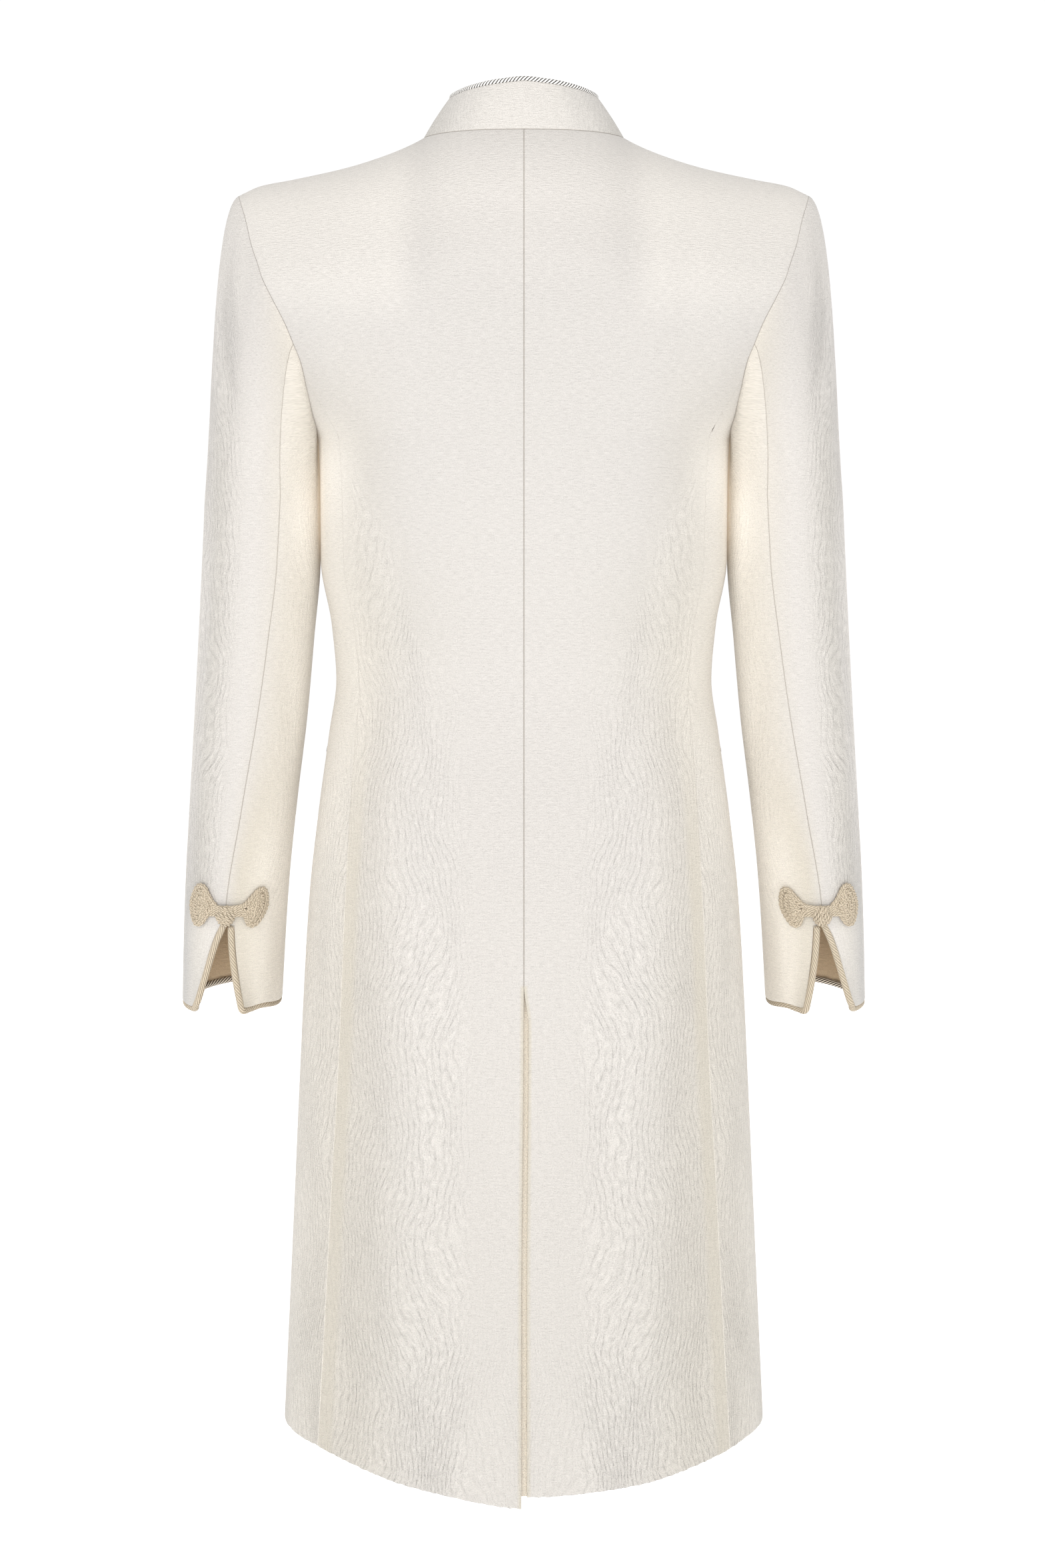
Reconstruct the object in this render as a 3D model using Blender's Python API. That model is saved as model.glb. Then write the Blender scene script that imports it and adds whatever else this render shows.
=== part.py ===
"""Coat dress with a stand collar, two-piece sleeves, slit cuffs and a back vent, in its worn shape.

Metres, +Z up. The back faces +Y and the wearer's left is +X. The origin lies between the two points
where the shoulder seams meet the collar.
"""
import math
from collections import namedtuple

import bmesh
import bpy
import numpy as np

# Cloth and seams
CLOTH = 0.002
GAP = 0.0003
SEAM_BEVEL = 0.0006
SQUARENESS = 2.4
NECK_HALF_WIDTH = 0.0742
NECK_DROP_FRONT = 0.075
BACK_ROLL = 0.12
FRONT_ROLL = 0.20
HEM_Z = -0.970
HEM_BACK_RISE = 0.0060
HEM_RISE_DEPTH = 0.060

# Levels that the panels share
SHOULDER_TIP_X = 0.2110
SHOULDER_TIP_Z = -0.0415
BACK_JOIN_Z = -0.1764
FRONT_JOIN_Z = -0.190
CHEST_Z = -0.262
VENT_TOP_Z = -0.6137

# Cells across and down each panel
NECK_CELLS = 4
SHOULDER_CELLS = 5
PANEL_CELLS = NECK_CELLS + SHOULDER_CELLS
SIDE_CELLS = 8
YOKE_ROWS = 9
CHEST_ROWS = 3
SKIRT_ROWS = 17

# Overlaps: how far a panel runs under its neighbour and how deep it lies
UNDERLAP_DEPTH = CLOTH + 0.0006
VENT_UNDERLAP = 0.040
VENT_FOLD_LEFT = 0.001
VENT_FOLD_RIGHT = 0.004
VENT_STEP_START = -0.004
VENT_STEP_END = 0.0014
VENT_TOP_INSET = 0.001
FRONT_OVERLAP = 0.015
FRONT_STEP_START = 0.0004
FRONT_STEP_END = 0.0032

# Collar, rope and trimmings
COLLAR_FRONT_GAP = 0.004
COLLAR_FRONT_CLEARANCE = 0.0012
ROPE_RADIUS = 0.0023
ROPE_CLEARANCE = 0.0011
ROPE_SIDES = 6
CUFF_APEX_Z = -0.5850
CUFF_HEM_Z = -0.645

# How far each side's hem dips towards the centre of the back, and over what width
Hem = namedtuple("Hem", "dip reach power")
HEM_LEFT = Hem(0.0285, 0.155, 1.3)
HEM_RIGHT = Hem(0.0200, 0.165, 1.9)

Body = namedtuple("Body", "z half_width back front")
BODY = [
    Body(0.040, 0.2250, 0.0980, 0.0600),
    Body(-0.050, 0.2250, 0.0980, 0.0700),
    Body(-0.100, 0.2250, 0.1040, 0.0900),
    Body(-0.140, 0.2090, 0.1060, 0.1100),
    Body(-0.1764, 0.1817, 0.1060, 0.1190),
    Body(-0.200, 0.1660, 0.1050, 0.1235),
    Body(-0.222, 0.1536, 0.1040, 0.1250),
    Body(-0.260, 0.1525, 0.1000, 0.1240),
    Body(-0.310, 0.1525, 0.0920, 0.1150),
    Body(-0.360, 0.1445, 0.0855, 0.1040),
    Body(-0.400, 0.1415, 0.0840, 0.0980),
    Body(-0.440, 0.1470, 0.0880, 0.0985),
    Body(-0.500, 0.1555, 0.1010, 0.1050),
    Body(-0.560, 0.1625, 0.1130, 0.1100),
    Body(-0.630, 0.1672, 0.1210, 0.1145),
    Body(-0.720, 0.1718, 0.1280, 0.1200),
    Body(-0.840, 0.1778, 0.1395, 0.1290),
    Body(-1.000, 0.1868, 0.1560, 0.1410),
]

# Height of the shoulder ridge over x; inside the neck it is carried on as if there were no opening
Ridge = namedtuple("Ridge", "x z")
RIDGE = [
    Ridge(0.0000, 0.0340),
    Ridge(0.0300, 0.0290),
    Ridge(0.0500, 0.0180),
    Ridge(0.0742, 0.0000),
    Ridge(0.0990, -0.0112),
    Ridge(0.1324, -0.0216),
    Ridge(0.1725, -0.0302),
    Ridge(0.1950, -0.0345),
    Ridge(0.2110, -0.0415),
]

# Angle round the body, in degrees from its side, of the armhole's back and front edges
Armhole = namedtuple("Armhole", "z back front")
ARMHOLE = [
    Armhole(-0.0415, 22.1, 22.1),
    Armhole(-0.0600, 27.0, 29.0),
    Armhole(-0.0800, 30.5, 34.0),
    Armhole(-0.1000, 34.5, 38.0),
    Armhole(-0.1200, 37.0, 41.0),
    Armhole(-0.1400, 37.8, 42.0),
    Armhole(-0.1600, 35.7, 40.0),
    Armhole(-0.1764, 31.3, 36.0),
    Armhole(-0.1900, 26.6, 31.0),
    Armhole(-0.2000, 22.5, 27.0),
    Armhole(-0.2146, 13.1, 16.0),
    Armhole(-0.2220, 0.0, 0.0),
]

# Angle of the two long seams beside the side panel
Seam = namedtuple("Seam", "z back front")
SEAM = [
    Seam(-0.1764, 31.3, 31.0),
    Seam(-0.1900, 31.4, 31.0),
    Seam(-0.3000, 32.5, 30.0),
    Seam(-0.4000, 33.5, 31.0),
    Seam(-0.4800, 36.5, 33.0),
    Seam(-0.5600, 38.8, 35.0),
    Seam(-0.6500, 39.2, 36.0),
    Seam(-0.7800, 37.8, 36.0),
    Seam(-1.0000, 36.7, 36.0),
]

# Sleeve sections: outer and inner edge, centre and half depth front to back
Sleeve = namedtuple("Sleeve", "z outer inner centre_y half_depth")
SLEEVE = [
    Sleeve(-0.200, 0.2345, 0.1538, 0.000, 0.0570),
    Sleeve(-0.262, 0.2390, 0.1538, 0.000, 0.0560),
    Sleeve(-0.310, 0.2418, 0.1541, -0.001, 0.0545),
    Sleeve(-0.370, 0.2457, 0.1586, -0.004, 0.0528),
    Sleeve(-0.430, 0.2500, 0.1646, -0.008, 0.0512),
    Sleeve(-0.490, 0.2546, 0.1726, -0.013, 0.0496),
    Sleeve(-0.550, 0.2592, 0.1796, -0.018, 0.0480),
    Sleeve(-0.600, 0.2620, 0.1838, -0.022, 0.0468),
    Sleeve(-0.660, 0.2644, 0.1880, -0.026, 0.0460),
]
SLEEVE_LEVELS = [-0.262, -0.300, -0.340, -0.380, -0.420, -0.460, -0.500, -0.540, CUFF_APEX_Z,
                 -0.597, -0.613, -0.629, CUFF_HEM_Z]
CAP_ROWS = 6
CAP_OUT = 0.058
CAP_BACK = 0.010
CAP_DOWN = 0.024
CAP_ARRIVE_OUT = 0.08
CAP_ARRIVE_BASE = 0.01
CAP_ARRIVE_DOWN = 0.95
CAP_SEAM_Z = -0.1428
UNDERARM_SEAM_ANGLE = 228.0
SLEEVE_AXIS_TOP_Z = -0.18

# Angle round the sleeve, from its outer side towards the back, of its two seams
SleeveSeam = namedtuple("SleeveSeam", "z back front")
SLEEVE_SEAM = [
    SleeveSeam(-0.262, 114.0, 228.0),
    SleeveSeam(-0.373, 107.0, 228.0),
    SleeveSeam(-0.500, 94.0, 228.0),
    SleeveSeam(-0.5807, 84.5, 228.0),
    SleeveSeam(-0.660, 84.0, 228.0),
]
SLIT_HALF_APEX = 8.0
SLIT_OUTER_HEM = 33.0
SLIT_INNER_HEM = 23.5
SLIT_OUTER_POWER = 0.70
SLIT_INNER_POWER = 0.62
SLIT_CURL = 0.005
SLIT_CURL_BESIDE = 0.4
OUTER_CORNER_RISE = 0.0050
INNER_CORNER_RISE = 0.0010
CUFF_TILT = 0.10
CUFF_SIDE_DROP = 0.0042


def smooth(rows, key, value):
    """A rounded curve through a table's rows that doesn't overshoot between them."""
    pairs = sorted((getattr(row, key), getattr(row, value)) for row in rows)
    xs = np.array([pair[0] for pair in pairs])
    ys = np.array([pair[1] for pair in pairs])
    steps = np.diff(xs)
    slopes = np.diff(ys) / steps
    tangents = np.zeros(len(xs))
    tangents[0] = slopes[0]
    tangents[-1] = slopes[-1]
    for i in range(1, len(xs) - 1):
        if slopes[i - 1] * slopes[i] > 0:
            first = 2 * steps[i] + steps[i - 1]
            second = steps[i] + 2 * steps[i - 1]
            tangents[i] = (first + second) / (first / slopes[i - 1] + second / slopes[i])

    def curve(x):
        x = min(max(x, xs[0]), xs[-1])
        i = min(max(int(np.searchsorted(xs, x)) - 1, 0), len(steps) - 1)
        u = (x - xs[i]) / steps[i]
        rise = (3 - 2 * u) * u * u
        enter = u * (1 - u) ** 2 * steps[i] * tangents[i]
        leave = u * u * (u - 1) * steps[i] * tangents[i + 1]
        return float(ys[i] * (1 - rise) + ys[i + 1] * rise + enter + leave)

    return curve


half_width = smooth(BODY, "z", "half_width")
back_depth = smooth(BODY, "z", "back")
front_depth = smooth(BODY, "z", "front")
ridge = smooth(RIDGE, "x", "z")
armhole_angle = {1: smooth(ARMHOLE, "z", "back"), -1: smooth(ARMHOLE, "z", "front")}
seam_angle = {1: smooth(SEAM, "z", "back"), -1: smooth(SEAM, "z", "front")}
sleeve_outer = smooth(SLEEVE, "z", "outer")
sleeve_inner = smooth(SLEEVE, "z", "inner")
sleeve_centre_y = smooth(SLEEVE, "z", "centre_y")
sleeve_half_depth = smooth(SLEEVE, "z", "half_depth")
sleeve_seam = {1: smooth(SLEEVE_SEAM, "z", "back"), -1: smooth(SLEEVE_SEAM, "z", "front")}
JOIN_Z = {1: BACK_JOIN_Z, -1: FRONT_JOIN_Z}


def lower_armhole(side):
    """The armhole's level over the angle, from the underarm up to where the side panel ends."""
    rows = [row for row in ARMHOLE if row.z <= JOIN_Z[side] + 1e-6]
    return smooth(rows, "back" if side > 0 else "front", "z")


def corner(value):
    """The power that turns an ellipse into a slightly squarer section."""
    return abs(value) ** (2 / SQUARENESS)


def body_x(angle, z):
    return half_width(z) * corner(math.cos(math.radians(angle)))


def body_y(x, z, side):
    """How far the outer face lies behind (side 1) or in front (side -1) of the side line."""
    share = min(abs(x) / half_width(z), 1.0)
    section = (1 - share ** SQUARENESS) ** (1 / SQUARENESS)
    depth = back_depth(z) if side > 0 else front_depth(z)
    roll = BACK_ROLL if side > 0 else FRONT_ROLL
    down = min(max((ridge(abs(x)) - z) / roll, 0.0), 1.0)
    return side * depth * section * math.sqrt(1 - (1 - down) ** 2)


def body_point(angle, z, side):
    x = body_x(angle, z)
    return np.array([x, body_y(x, z, side), z])


def neckline_z(x, side):
    if side > 0:
        return 0.0
    return -NECK_DROP_FRONT * (1 - min(abs(x) / NECK_HALF_WIDTH, 1.0) ** 2) ** 0.6


def top_edge(index, side):
    """A point of the panel's top: along the neckline, then along the shoulder seam."""
    if index <= NECK_CELLS:
        x = NECK_HALF_WIDTH * math.sin(0.5 * math.pi * index / NECK_CELLS)
        return x, neckline_z(x, side)
    share = (index - NECK_CELLS) / SHOULDER_CELLS
    x = NECK_HALF_WIDTH + (SHOULDER_TIP_X - NECK_HALF_WIDTH) * share
    return x, ridge(x)


def hem_z(x, y, hem):
    """The hem is level in front; behind it rises a little and then dips towards the centre."""
    if y <= 0:
        return HEM_Z
    rise = HEM_BACK_RISE * min(y / HEM_RISE_DEPTH, 1.0)
    return HEM_Z + rise - hem.dip * max(1 - (abs(x) / hem.reach) ** hem.power, 0.0)


def chest_levels(start):
    return [start + (CHEST_Z - start) * row / CHEST_ROWS for row in range(1, CHEST_ROWS + 1)]


def panel_column(side, hem, index=None, x=None):
    """One column of a front or back panel from its top edge to the hem.

    A column goes by its index between the centre and the side, or near the centre by its own x."""
    start, join = SHOULDER_TIP_Z, JOIN_Z[side]
    seam = seam_angle[side](join)
    at_join = [body_x(90 + (seam - 90) * i / PANEL_CELLS, join) for i in (index or 0, PANEL_CELLS)]
    top_x, top_z = top_edge(index, side) if x is None else (abs(x), neckline_z(x, side))
    points = []
    for row in range(YOKE_ROWS + 1):
        part = row / YOKE_ROWS
        fall = 1 - math.cos(0.5 * math.pi * part)
        z = top_z + (join - top_z) * fall
        if x is None:
            edge_z = start + (join - start) * fall
            edge_x = body_x(armhole_angle[side](edge_z), edge_z)
            share = (1 - part) * top_x / SHOULDER_TIP_X + part * at_join[0] / at_join[1]
            column_x = edge_x * share
        else:
            column_x = x
        points.append((column_x, body_y(column_x, z, side), z))
    for z in chest_levels(join):
        column_x = body_x(90 + (seam_angle[side](z) - 90) * index / PANEL_CELLS, z) if x is None else x
        points.append((column_x, body_y(column_x, z, side), z))
    for row in range(1, SKIRT_ROWS + 1):
        part = row / SKIRT_ROWS
        level = CHEST_Z + (HEM_Z - CHEST_Z) * part
        turn = seam_angle[side](level) - 90
        column_x = body_x(90 + turn * index / PANEL_CELLS, level) if x is None else x
        bottom = hem_z(column_x, body_y(column_x, level, side), hem)
        z = CHEST_Z + (bottom - CHEST_Z) * part
        points.append((column_x, body_y(column_x, z, side), z))
    return np.array(points)


def side_panel(hem):
    """The panel under the arm, from the back seam round to the front seam."""
    columns = []
    for index in range(SIDE_CELLS + 1):
        share = 1 - 2 * index / SIDE_CELLS
        side = 1 if share >= 0 else -1
        top_angle = abs(share) * seam_angle[side](JOIN_Z[side])
        top_z = lower_armhole(side)(top_angle)
        points = [body_point(top_angle, top_z, side)]
        for z in chest_levels(top_z):
            points.append(body_point(abs(share) * seam_angle[side](z), z, side))
        for row in range(1, SKIRT_ROWS + 1):
            level = CHEST_Z + (HEM_Z - CHEST_Z) * row / SKIRT_ROWS
            angle = abs(share) * seam_angle[side](level)
            x, y, z = body_point(angle, level, side)
            z = CHEST_Z + (hem_z(x, y, hem) - CHEST_Z) * row / SKIRT_ROWS
            points.append(np.array([x, body_y(x, z, side), z]))
        columns.append(np.array(points))
    return np.array(columns)


def whole(grid):
    """A mask that keeps every cell of a panel."""
    return np.ones((grid.shape[0] - 1, grid.shape[1] - 1), bool)


def pull_in(grid, columns=(), rows=()):
    """Move the named edges of a panel inwards by half the gap between pieces."""
    for edge in columns:
        inner = 1 if edge == 0 else -2
        step = grid[inner] - grid[edge]
        grid[edge] += step / np.linalg.norm(step, axis=1)[:, None] * GAP / 2
    for edge in rows:
        inner = 1 if edge == 0 else -2
        step = grid[:, inner] - grid[:, edge]
        grid[:, edge] += step / np.linalg.norm(step, axis=1)[:, None] * GAP / 2


def outer_normals(grid, centre, mask):
    """Unit directions out of the cloth, lengthened at folds so that the wall keeps its thickness."""
    cells = np.cross(grid[1:, 1:] - grid[:-1, :-1], grid[1:, :-1] - grid[:-1, 1:])
    cells /= np.linalg.norm(cells, axis=2)[:, :, None] + 1e-12
    middle = (grid[1:, 1:] + grid[:-1, :-1]) / 2
    away = middle - centre(middle)
    if np.sum((cells * away).sum(axis=2) * mask) < 0:
        cells = -cells
    normals = np.zeros(grid.shape)
    for i in range(grid.shape[0]):
        for j in range(grid.shape[1]):
            near = [cells[a, b] for a in (i - 1, i) for b in (j - 1, j)
                    if 0 <= a < cells.shape[0] and 0 <= b < cells.shape[1] and mask[a, b]]
            if not near:
                continue
            mean = np.sum(near, axis=0)
            mean /= np.linalg.norm(mean)
            normals[i, j] = mean / max(np.mean([mean @ cell for cell in near]), 0.6)
    return normals


def inner_face(grid, normals):
    """The wall's inner points; along its edges they stand back a little, as turned seams do."""
    inner = grid - normals * CLOTH
    for edge, beside in ((0, 1), (-1, -2)):
        step = inner[beside] - inner[edge]
        inner[edge] += step / np.linalg.norm(step, axis=1)[:, None] * SEAM_BEVEL
        step = inner[:, beside] - inner[:, edge]
        inner[:, edge] += step / np.linalg.norm(step, axis=1)[:, None] * SEAM_BEVEL
    return inner


def shell(outer, inner, mask):
    """Vertices and faces of a closed wall: an outer grid, an inner one and a rim round each free edge."""
    vertices, faces, index = [], [], {}
    layers = (outer, inner)

    def vertex(i, j, layer):
        if (i, j, layer) not in index:
            index[i, j, layer] = len(vertices)
            vertices.append(layers[layer][i, j])
        return index[i, j, layer]

    rows, columns = mask.shape
    for i in range(rows):
        for j in range(columns):
            if not mask[i, j]:
                continue
            ring = [(i, j), (i + 1, j), (i + 1, j + 1), (i, j + 1)]
            faces.append([vertex(a, b, 0) for a, b in ring])
            faces.append([vertex(a, b, 1) for a, b in reversed(ring)])
            beside = [(i, j - 1), (i + 1, j), (i, j + 1), (i - 1, j)]
            for place, (a, b) in enumerate(beside):
                if 0 <= a < rows and 0 <= b < columns and mask[a, b]:
                    continue
                start, end = ring[place], ring[(place + 1) % 4]
                faces.append([vertex(*end, 0), vertex(*start, 0), vertex(*start, 1), vertex(*end, 1)])
    return vertices, faces


def wall(grid, normals, mask):
    return shell(grid, inner_face(grid, normals), mask)


MATERIALS = {
    "jacquard": ((0.87, 0.85, 0.80, 1.0), 0.72),
    "rope": ((0.60, 0.52, 0.39, 1.0), 0.80),
    "collar_rope": ((0.62, 0.58, 0.50, 1.0), 0.75),
}


def material_for(name, kind):
    colour, roughness = MATERIALS[kind]
    material = bpy.data.materials.new(name + "_" + kind)
    material.use_nodes = True
    shader = material.node_tree.nodes["Principled BSDF"]
    shader.inputs["Base Color"].default_value = colour
    shader.inputs["Roughness"].default_value = roughness
    shader.inputs["Metallic"].default_value = 0.0
    return material


def add_object(name, vertices, faces, kind):
    """Make the named object, with triangles and with every face turned outwards."""
    mesh = bpy.data.meshes.new(name)
    mesh.from_pydata([tuple(map(float, vertex)) for vertex in vertices], [], faces)
    body = bmesh.new()
    body.from_mesh(mesh)
    bmesh.ops.triangulate(body, faces=body.faces[:])
    bmesh.ops.recalc_face_normals(body, faces=body.faces[:])
    if body.calc_volume(signed=True) < 0:
        bmesh.ops.reverse_faces(body, faces=body.faces[:])
    body.to_mesh(mesh)
    body.free()
    mesh.shade_smooth()
    mesh.set_sharp_from_angle(angle=math.radians(50))
    mesh.materials.append(material_for(name, kind))
    thing = bpy.data.objects.new(name, mesh)
    bpy.context.scene.collection.objects.link(thing)
    return thing


def flipped(grid):
    return grid * np.array([-1.0, 1.0, 1.0])


def body_axis(points):
    centre = points.copy()
    centre[..., 0] = 0
    centre[..., 1] = 0
    return centre


def add_panel(name, grid, mask, centre_rows=(), ridge_columns=()):
    """Build a body panel; normals stay in the mirror plane at the centre and at the shoulder ridge."""
    normals = outer_normals(grid, body_axis, mask)
    for column in centre_rows:
        normals[column, :, 0] = 0
    for column in ridge_columns:
        normals[column, 0, 1] = 0
    vertices, faces = wall(grid, normals, mask)
    add_object(name, vertices, faces, "jacquard")


def sunk(column):
    """Move a column towards the inside of the coat by the depth of an underlap."""
    return column - np.sign(column[:, 1:2].mean()) * np.array([0.0, UNDERLAP_DEPTH, 0.0])


def vent_rows(grid):
    return grid[0, :, 2] <= VENT_TOP_Z


def build_back_left():
    columns = [panel_column(1, HEM_LEFT, index=i) for i in range(PANEL_CELLS + 1)]
    grid = np.array(columns)
    below = vent_rows(grid)
    grid[0, ~below, 0] = GAP / 2
    grid[0, below, 0] = VENT_FOLD_LEFT
    pull_in(grid, columns=(-1,), rows=(0,))
    mask = whole(grid)
    shoulder = range(NECK_CELLS, PANEL_CELLS + 1)
    add_panel("back_left", grid, mask, centre_rows=(0,), ridge_columns=shoulder)


def build_back_right():
    """Built on the left and flipped; below the vent's top it runs on under the other panel."""
    regular = [panel_column(1, HEM_RIGHT, index=i) for i in range(PANEL_CELLS + 1)]
    below = vent_rows(np.array(regular))
    regular[0][~below, 0] = GAP / 2
    regular[0][below, 0] = VENT_FOLD_RIGHT
    places = (-VENT_UNDERLAP, -VENT_UNDERLAP / 2, VENT_STEP_START, VENT_STEP_END)
    under = [sunk(panel_column(1, HEM_RIGHT, x=x)) for x in places]
    first = int(np.argmax(below)) - 1
    under[-1][first, 0] = -VENT_TOP_INSET
    grid = np.array(under + regular)
    pull_in(grid, columns=(-1,), rows=(0,))
    mask = whole(grid)
    mask[:len(under), :first] = False
    shoulder = range(len(under) + NECK_CELLS, len(under) + PANEL_CELLS + 1)
    add_panel("back_right", flipped(grid), mask, ridge_columns=shoulder)


def build_fronts():
    """The right front laps over the left one at the centre and hides its fastening."""
    regular = [panel_column(-1, HEM_LEFT, index=i) for i in range(PANEL_CELLS + 1)]
    shoulder = NECK_CELLS
    edge = panel_column(-1, HEM_LEFT, x=-FRONT_OVERLAP)
    grid = np.array([edge] + regular)
    pull_in(grid, columns=(-1,), rows=(0,))
    mask = whole(grid)
    add_panel("front_right", flipped(grid), mask, ridge_columns=range(shoulder + 1, PANEL_CELLS + 2))
    places = (-FRONT_OVERLAP, 0.0, FRONT_OVERLAP + FRONT_STEP_START)
    under = [sunk(panel_column(-1, HEM_LEFT, x=x)) for x in places]
    step = panel_column(-1, HEM_LEFT, x=FRONT_OVERLAP + FRONT_STEP_END)
    grid = np.array(under + [step] + regular[1:])
    pull_in(grid, columns=(-1,), rows=(0,))
    mask = whole(grid)
    add_panel("front_left", grid, mask, ridge_columns=range(shoulder + 3, PANEL_CELLS + 4))


def build_sides():
    for name, hem in (("side_left", HEM_LEFT), ("side_right", HEM_RIGHT)):
        grid = side_panel(hem)
        pull_in(grid, columns=(0, -1), rows=(0,))
        placed = grid if hem is HEM_LEFT else flipped(grid)
        add_panel(name, placed, whole(placed))


def armhole_loop():
    """The armhole's points from the shoulder tip down the back, under the arm and up the front."""
    back = panel_column(1, HEM_LEFT, index=PANEL_CELLS)[:YOKE_ROWS + 1]
    under = side_panel(HEM_LEFT)[:, 0]
    front = panel_column(-1, HEM_LEFT, index=PANEL_CELLS)[:YOKE_ROWS + 1]
    return np.vstack([back, under[1:-1], front[::-1]])


def sleeve_angle_of(point, middle):
    """Angle round the armhole: 0 at the shoulder tip, 90 at the back, 180 under the arm."""
    angle = math.degrees(math.atan2(point[1] - middle[1], point[2] - middle[2]))
    return angle % 360


def sleeve_ring(angle, level):
    """A point of the sleeve's outer face at a level below the cap."""
    outer, inner = sleeve_outer(level), sleeve_inner(level)
    turn = math.radians(angle)
    x = (outer + inner) / 2 + (outer - inner) / 2 * math.cos(turn)
    y = sleeve_centre_y(level) + sleeve_half_depth(level) * math.sin(turn)
    return np.array([x, y, level])


def cap_point(start, angle, part):
    """A point of the sleeve cap between the armhole and the first full ring."""
    end = sleeve_ring(angle, SLEEVE_LEVELS[0])
    lift = (1 + math.cos(math.radians(angle))) / 2
    length = np.linalg.norm(end - start)
    leave = np.array([CAP_OUT * lift, CAP_BACK * math.sin(math.radians(angle)), -CAP_DOWN])
    arrive = np.array([CAP_ARRIVE_OUT * lift + CAP_ARRIVE_BASE, 0.0, -CAP_ARRIVE_DOWN]) * length
    u = part
    return (start * (1 + 2 * u) * (1 - u) ** 2 + leave * u * (1 - u) ** 2
            + end * u * u * (3 - 2 * u) + arrive * u * u * (u - 1))


def slit_angles(level):
    """How far each edge of the cuff's slit stands from the sleeve's back seam, in degrees."""
    down = (CUFF_APEX_Z - level) / (CUFF_APEX_Z - CUFF_HEM_Z)
    if down < -1e-6:
        return 0.0, 0.0
    down = max(down, 0.0)
    outer = SLIT_HALF_APEX + (SLIT_OUTER_HEM - SLIT_HALF_APEX) * down ** SLIT_OUTER_POWER
    inner = SLIT_HALF_APEX + (SLIT_INNER_HEM - SLIT_HALF_APEX) * down ** SLIT_INNER_POWER
    return outer, inner


def sleeve_pieces():
    """Outer points of the left sleeve's top and under pieces, a column for each point of the armhole."""
    loop = armhole_loop()
    middle = (loop.max(axis=0) + loop.min(axis=0)) / 2
    angles = [sleeve_angle_of(point, middle) for point in loop]
    angles[0] = 0.0
    angles[-1] = 360.0
    back = min(range(len(loop) // 2), key=lambda i: abs(loop[i][2] - CAP_SEAM_Z))
    front = min(range(len(loop) // 2, len(loop)), key=lambda i: abs(angles[i] - UNDERARM_SEAM_ANGLE))
    seams = [0, back, front, len(loop) - 1]

    def column(index, group):
        """Angles of one column: it keeps its share of the way between the two seams."""
        first, last = seams[group], seams[group + 1]
        share = (angles[index] - angles[first]) / (angles[last] - angles[first])
        points = []
        level = SLEEVE_LEVELS[0]
        targets = [0.0, sleeve_seam[1](level), sleeve_seam[-1](level), 360.0]
        goal = targets[group] + (targets[group + 1] - targets[group]) * share
        out = loop[index].copy()
        for row in range(CAP_ROWS):
            part = row / CAP_ROWS
            angle = angles[index] + (goal - angles[index]) * part
            points.append(cap_point(out, angle if row else goal, part))
        for level in SLEEVE_LEVELS:
            outer, inner = slit_angles(level)
            targets = [0.0, sleeve_seam[1](level), sleeve_seam[-1](level), 360.0]
            if group == 0:
                targets[1] -= outer
            if group == 1:
                targets[1] += inner
            goal = targets[group] + (targets[group + 1] - targets[group]) * share
            points.append(sleeve_ring(goal, level))
        return np.array(points)

    front_part = [column(i, 2) for i in range(front, len(loop))]
    outer_part = [column(i, 0) for i in range(0, back + 1)]
    under = [column(i, 1) for i in range(back, front + 1)]
    top = np.array(front_part + outer_part[1:])
    return top, np.array(under)


def shape_cuff(top, under):
    """Curl the slit's edges out a little and round the corners of the hem."""
    apex = SLEEVE_LEVELS.index(CUFF_APEX_Z) + CAP_ROWS
    last = top.shape[1] - 1
    cuff_centre_x = (sleeve_outer(CUFF_HEM_Z) + sleeve_inner(CUFF_HEM_Z)) / 2
    cuff_half_width = (sleeve_outer(CUFF_HEM_Z) - sleeve_inner(CUFF_HEM_Z)) / 2
    for grid, edge, inner in ((top, -1, -2), (under, 0, 1)):
        for row in range(apex, last + 1):
            down = (row - apex) / (last - apex)
            grid[edge, row, 1] += SLIT_CURL * down * down
            grid[inner, row, 1] += SLIT_CURL_BESIDE * SLIT_CURL * down * down
            grid[:, row, 2] -= CUFF_TILT * down * (grid[:, row, 1] - sleeve_centre_y(CUFF_HEM_Z))
            aside = np.abs(grid[:, row, 0] - cuff_centre_x) / cuff_half_width
            grid[:, row, 2] -= CUFF_SIDE_DROP * down * aside
    top[-1, last, 2] += OUTER_CORNER_RISE
    under[0, last, 2] += INNER_CORNER_RISE


def sleeve_axis(points):
    centre = points.copy()
    for place in np.ndindex(points.shape[:-1]):
        level = min(points[place][2], SLEEVE_AXIS_TOP_Z)
        centre[place][0] = (sleeve_outer(level) + sleeve_inner(level)) / 2 * np.sign(points[place][0])
        centre[place][1] = sleeve_centre_y(level)
    return centre


def sleeve_normals(top, under):
    """Directions out of the sleeve, the same on both pieces where they meet."""
    ring = np.concatenate([under[-2:-1], top, under[1:], top[1:2]])
    normals = outer_normals(ring, sleeve_axis, whole(ring))
    of_top = normals[1:1 + len(top)]
    of_under = np.concatenate([of_top[-1:], normals[1 + len(top):-1]])
    return of_top, of_under


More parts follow.
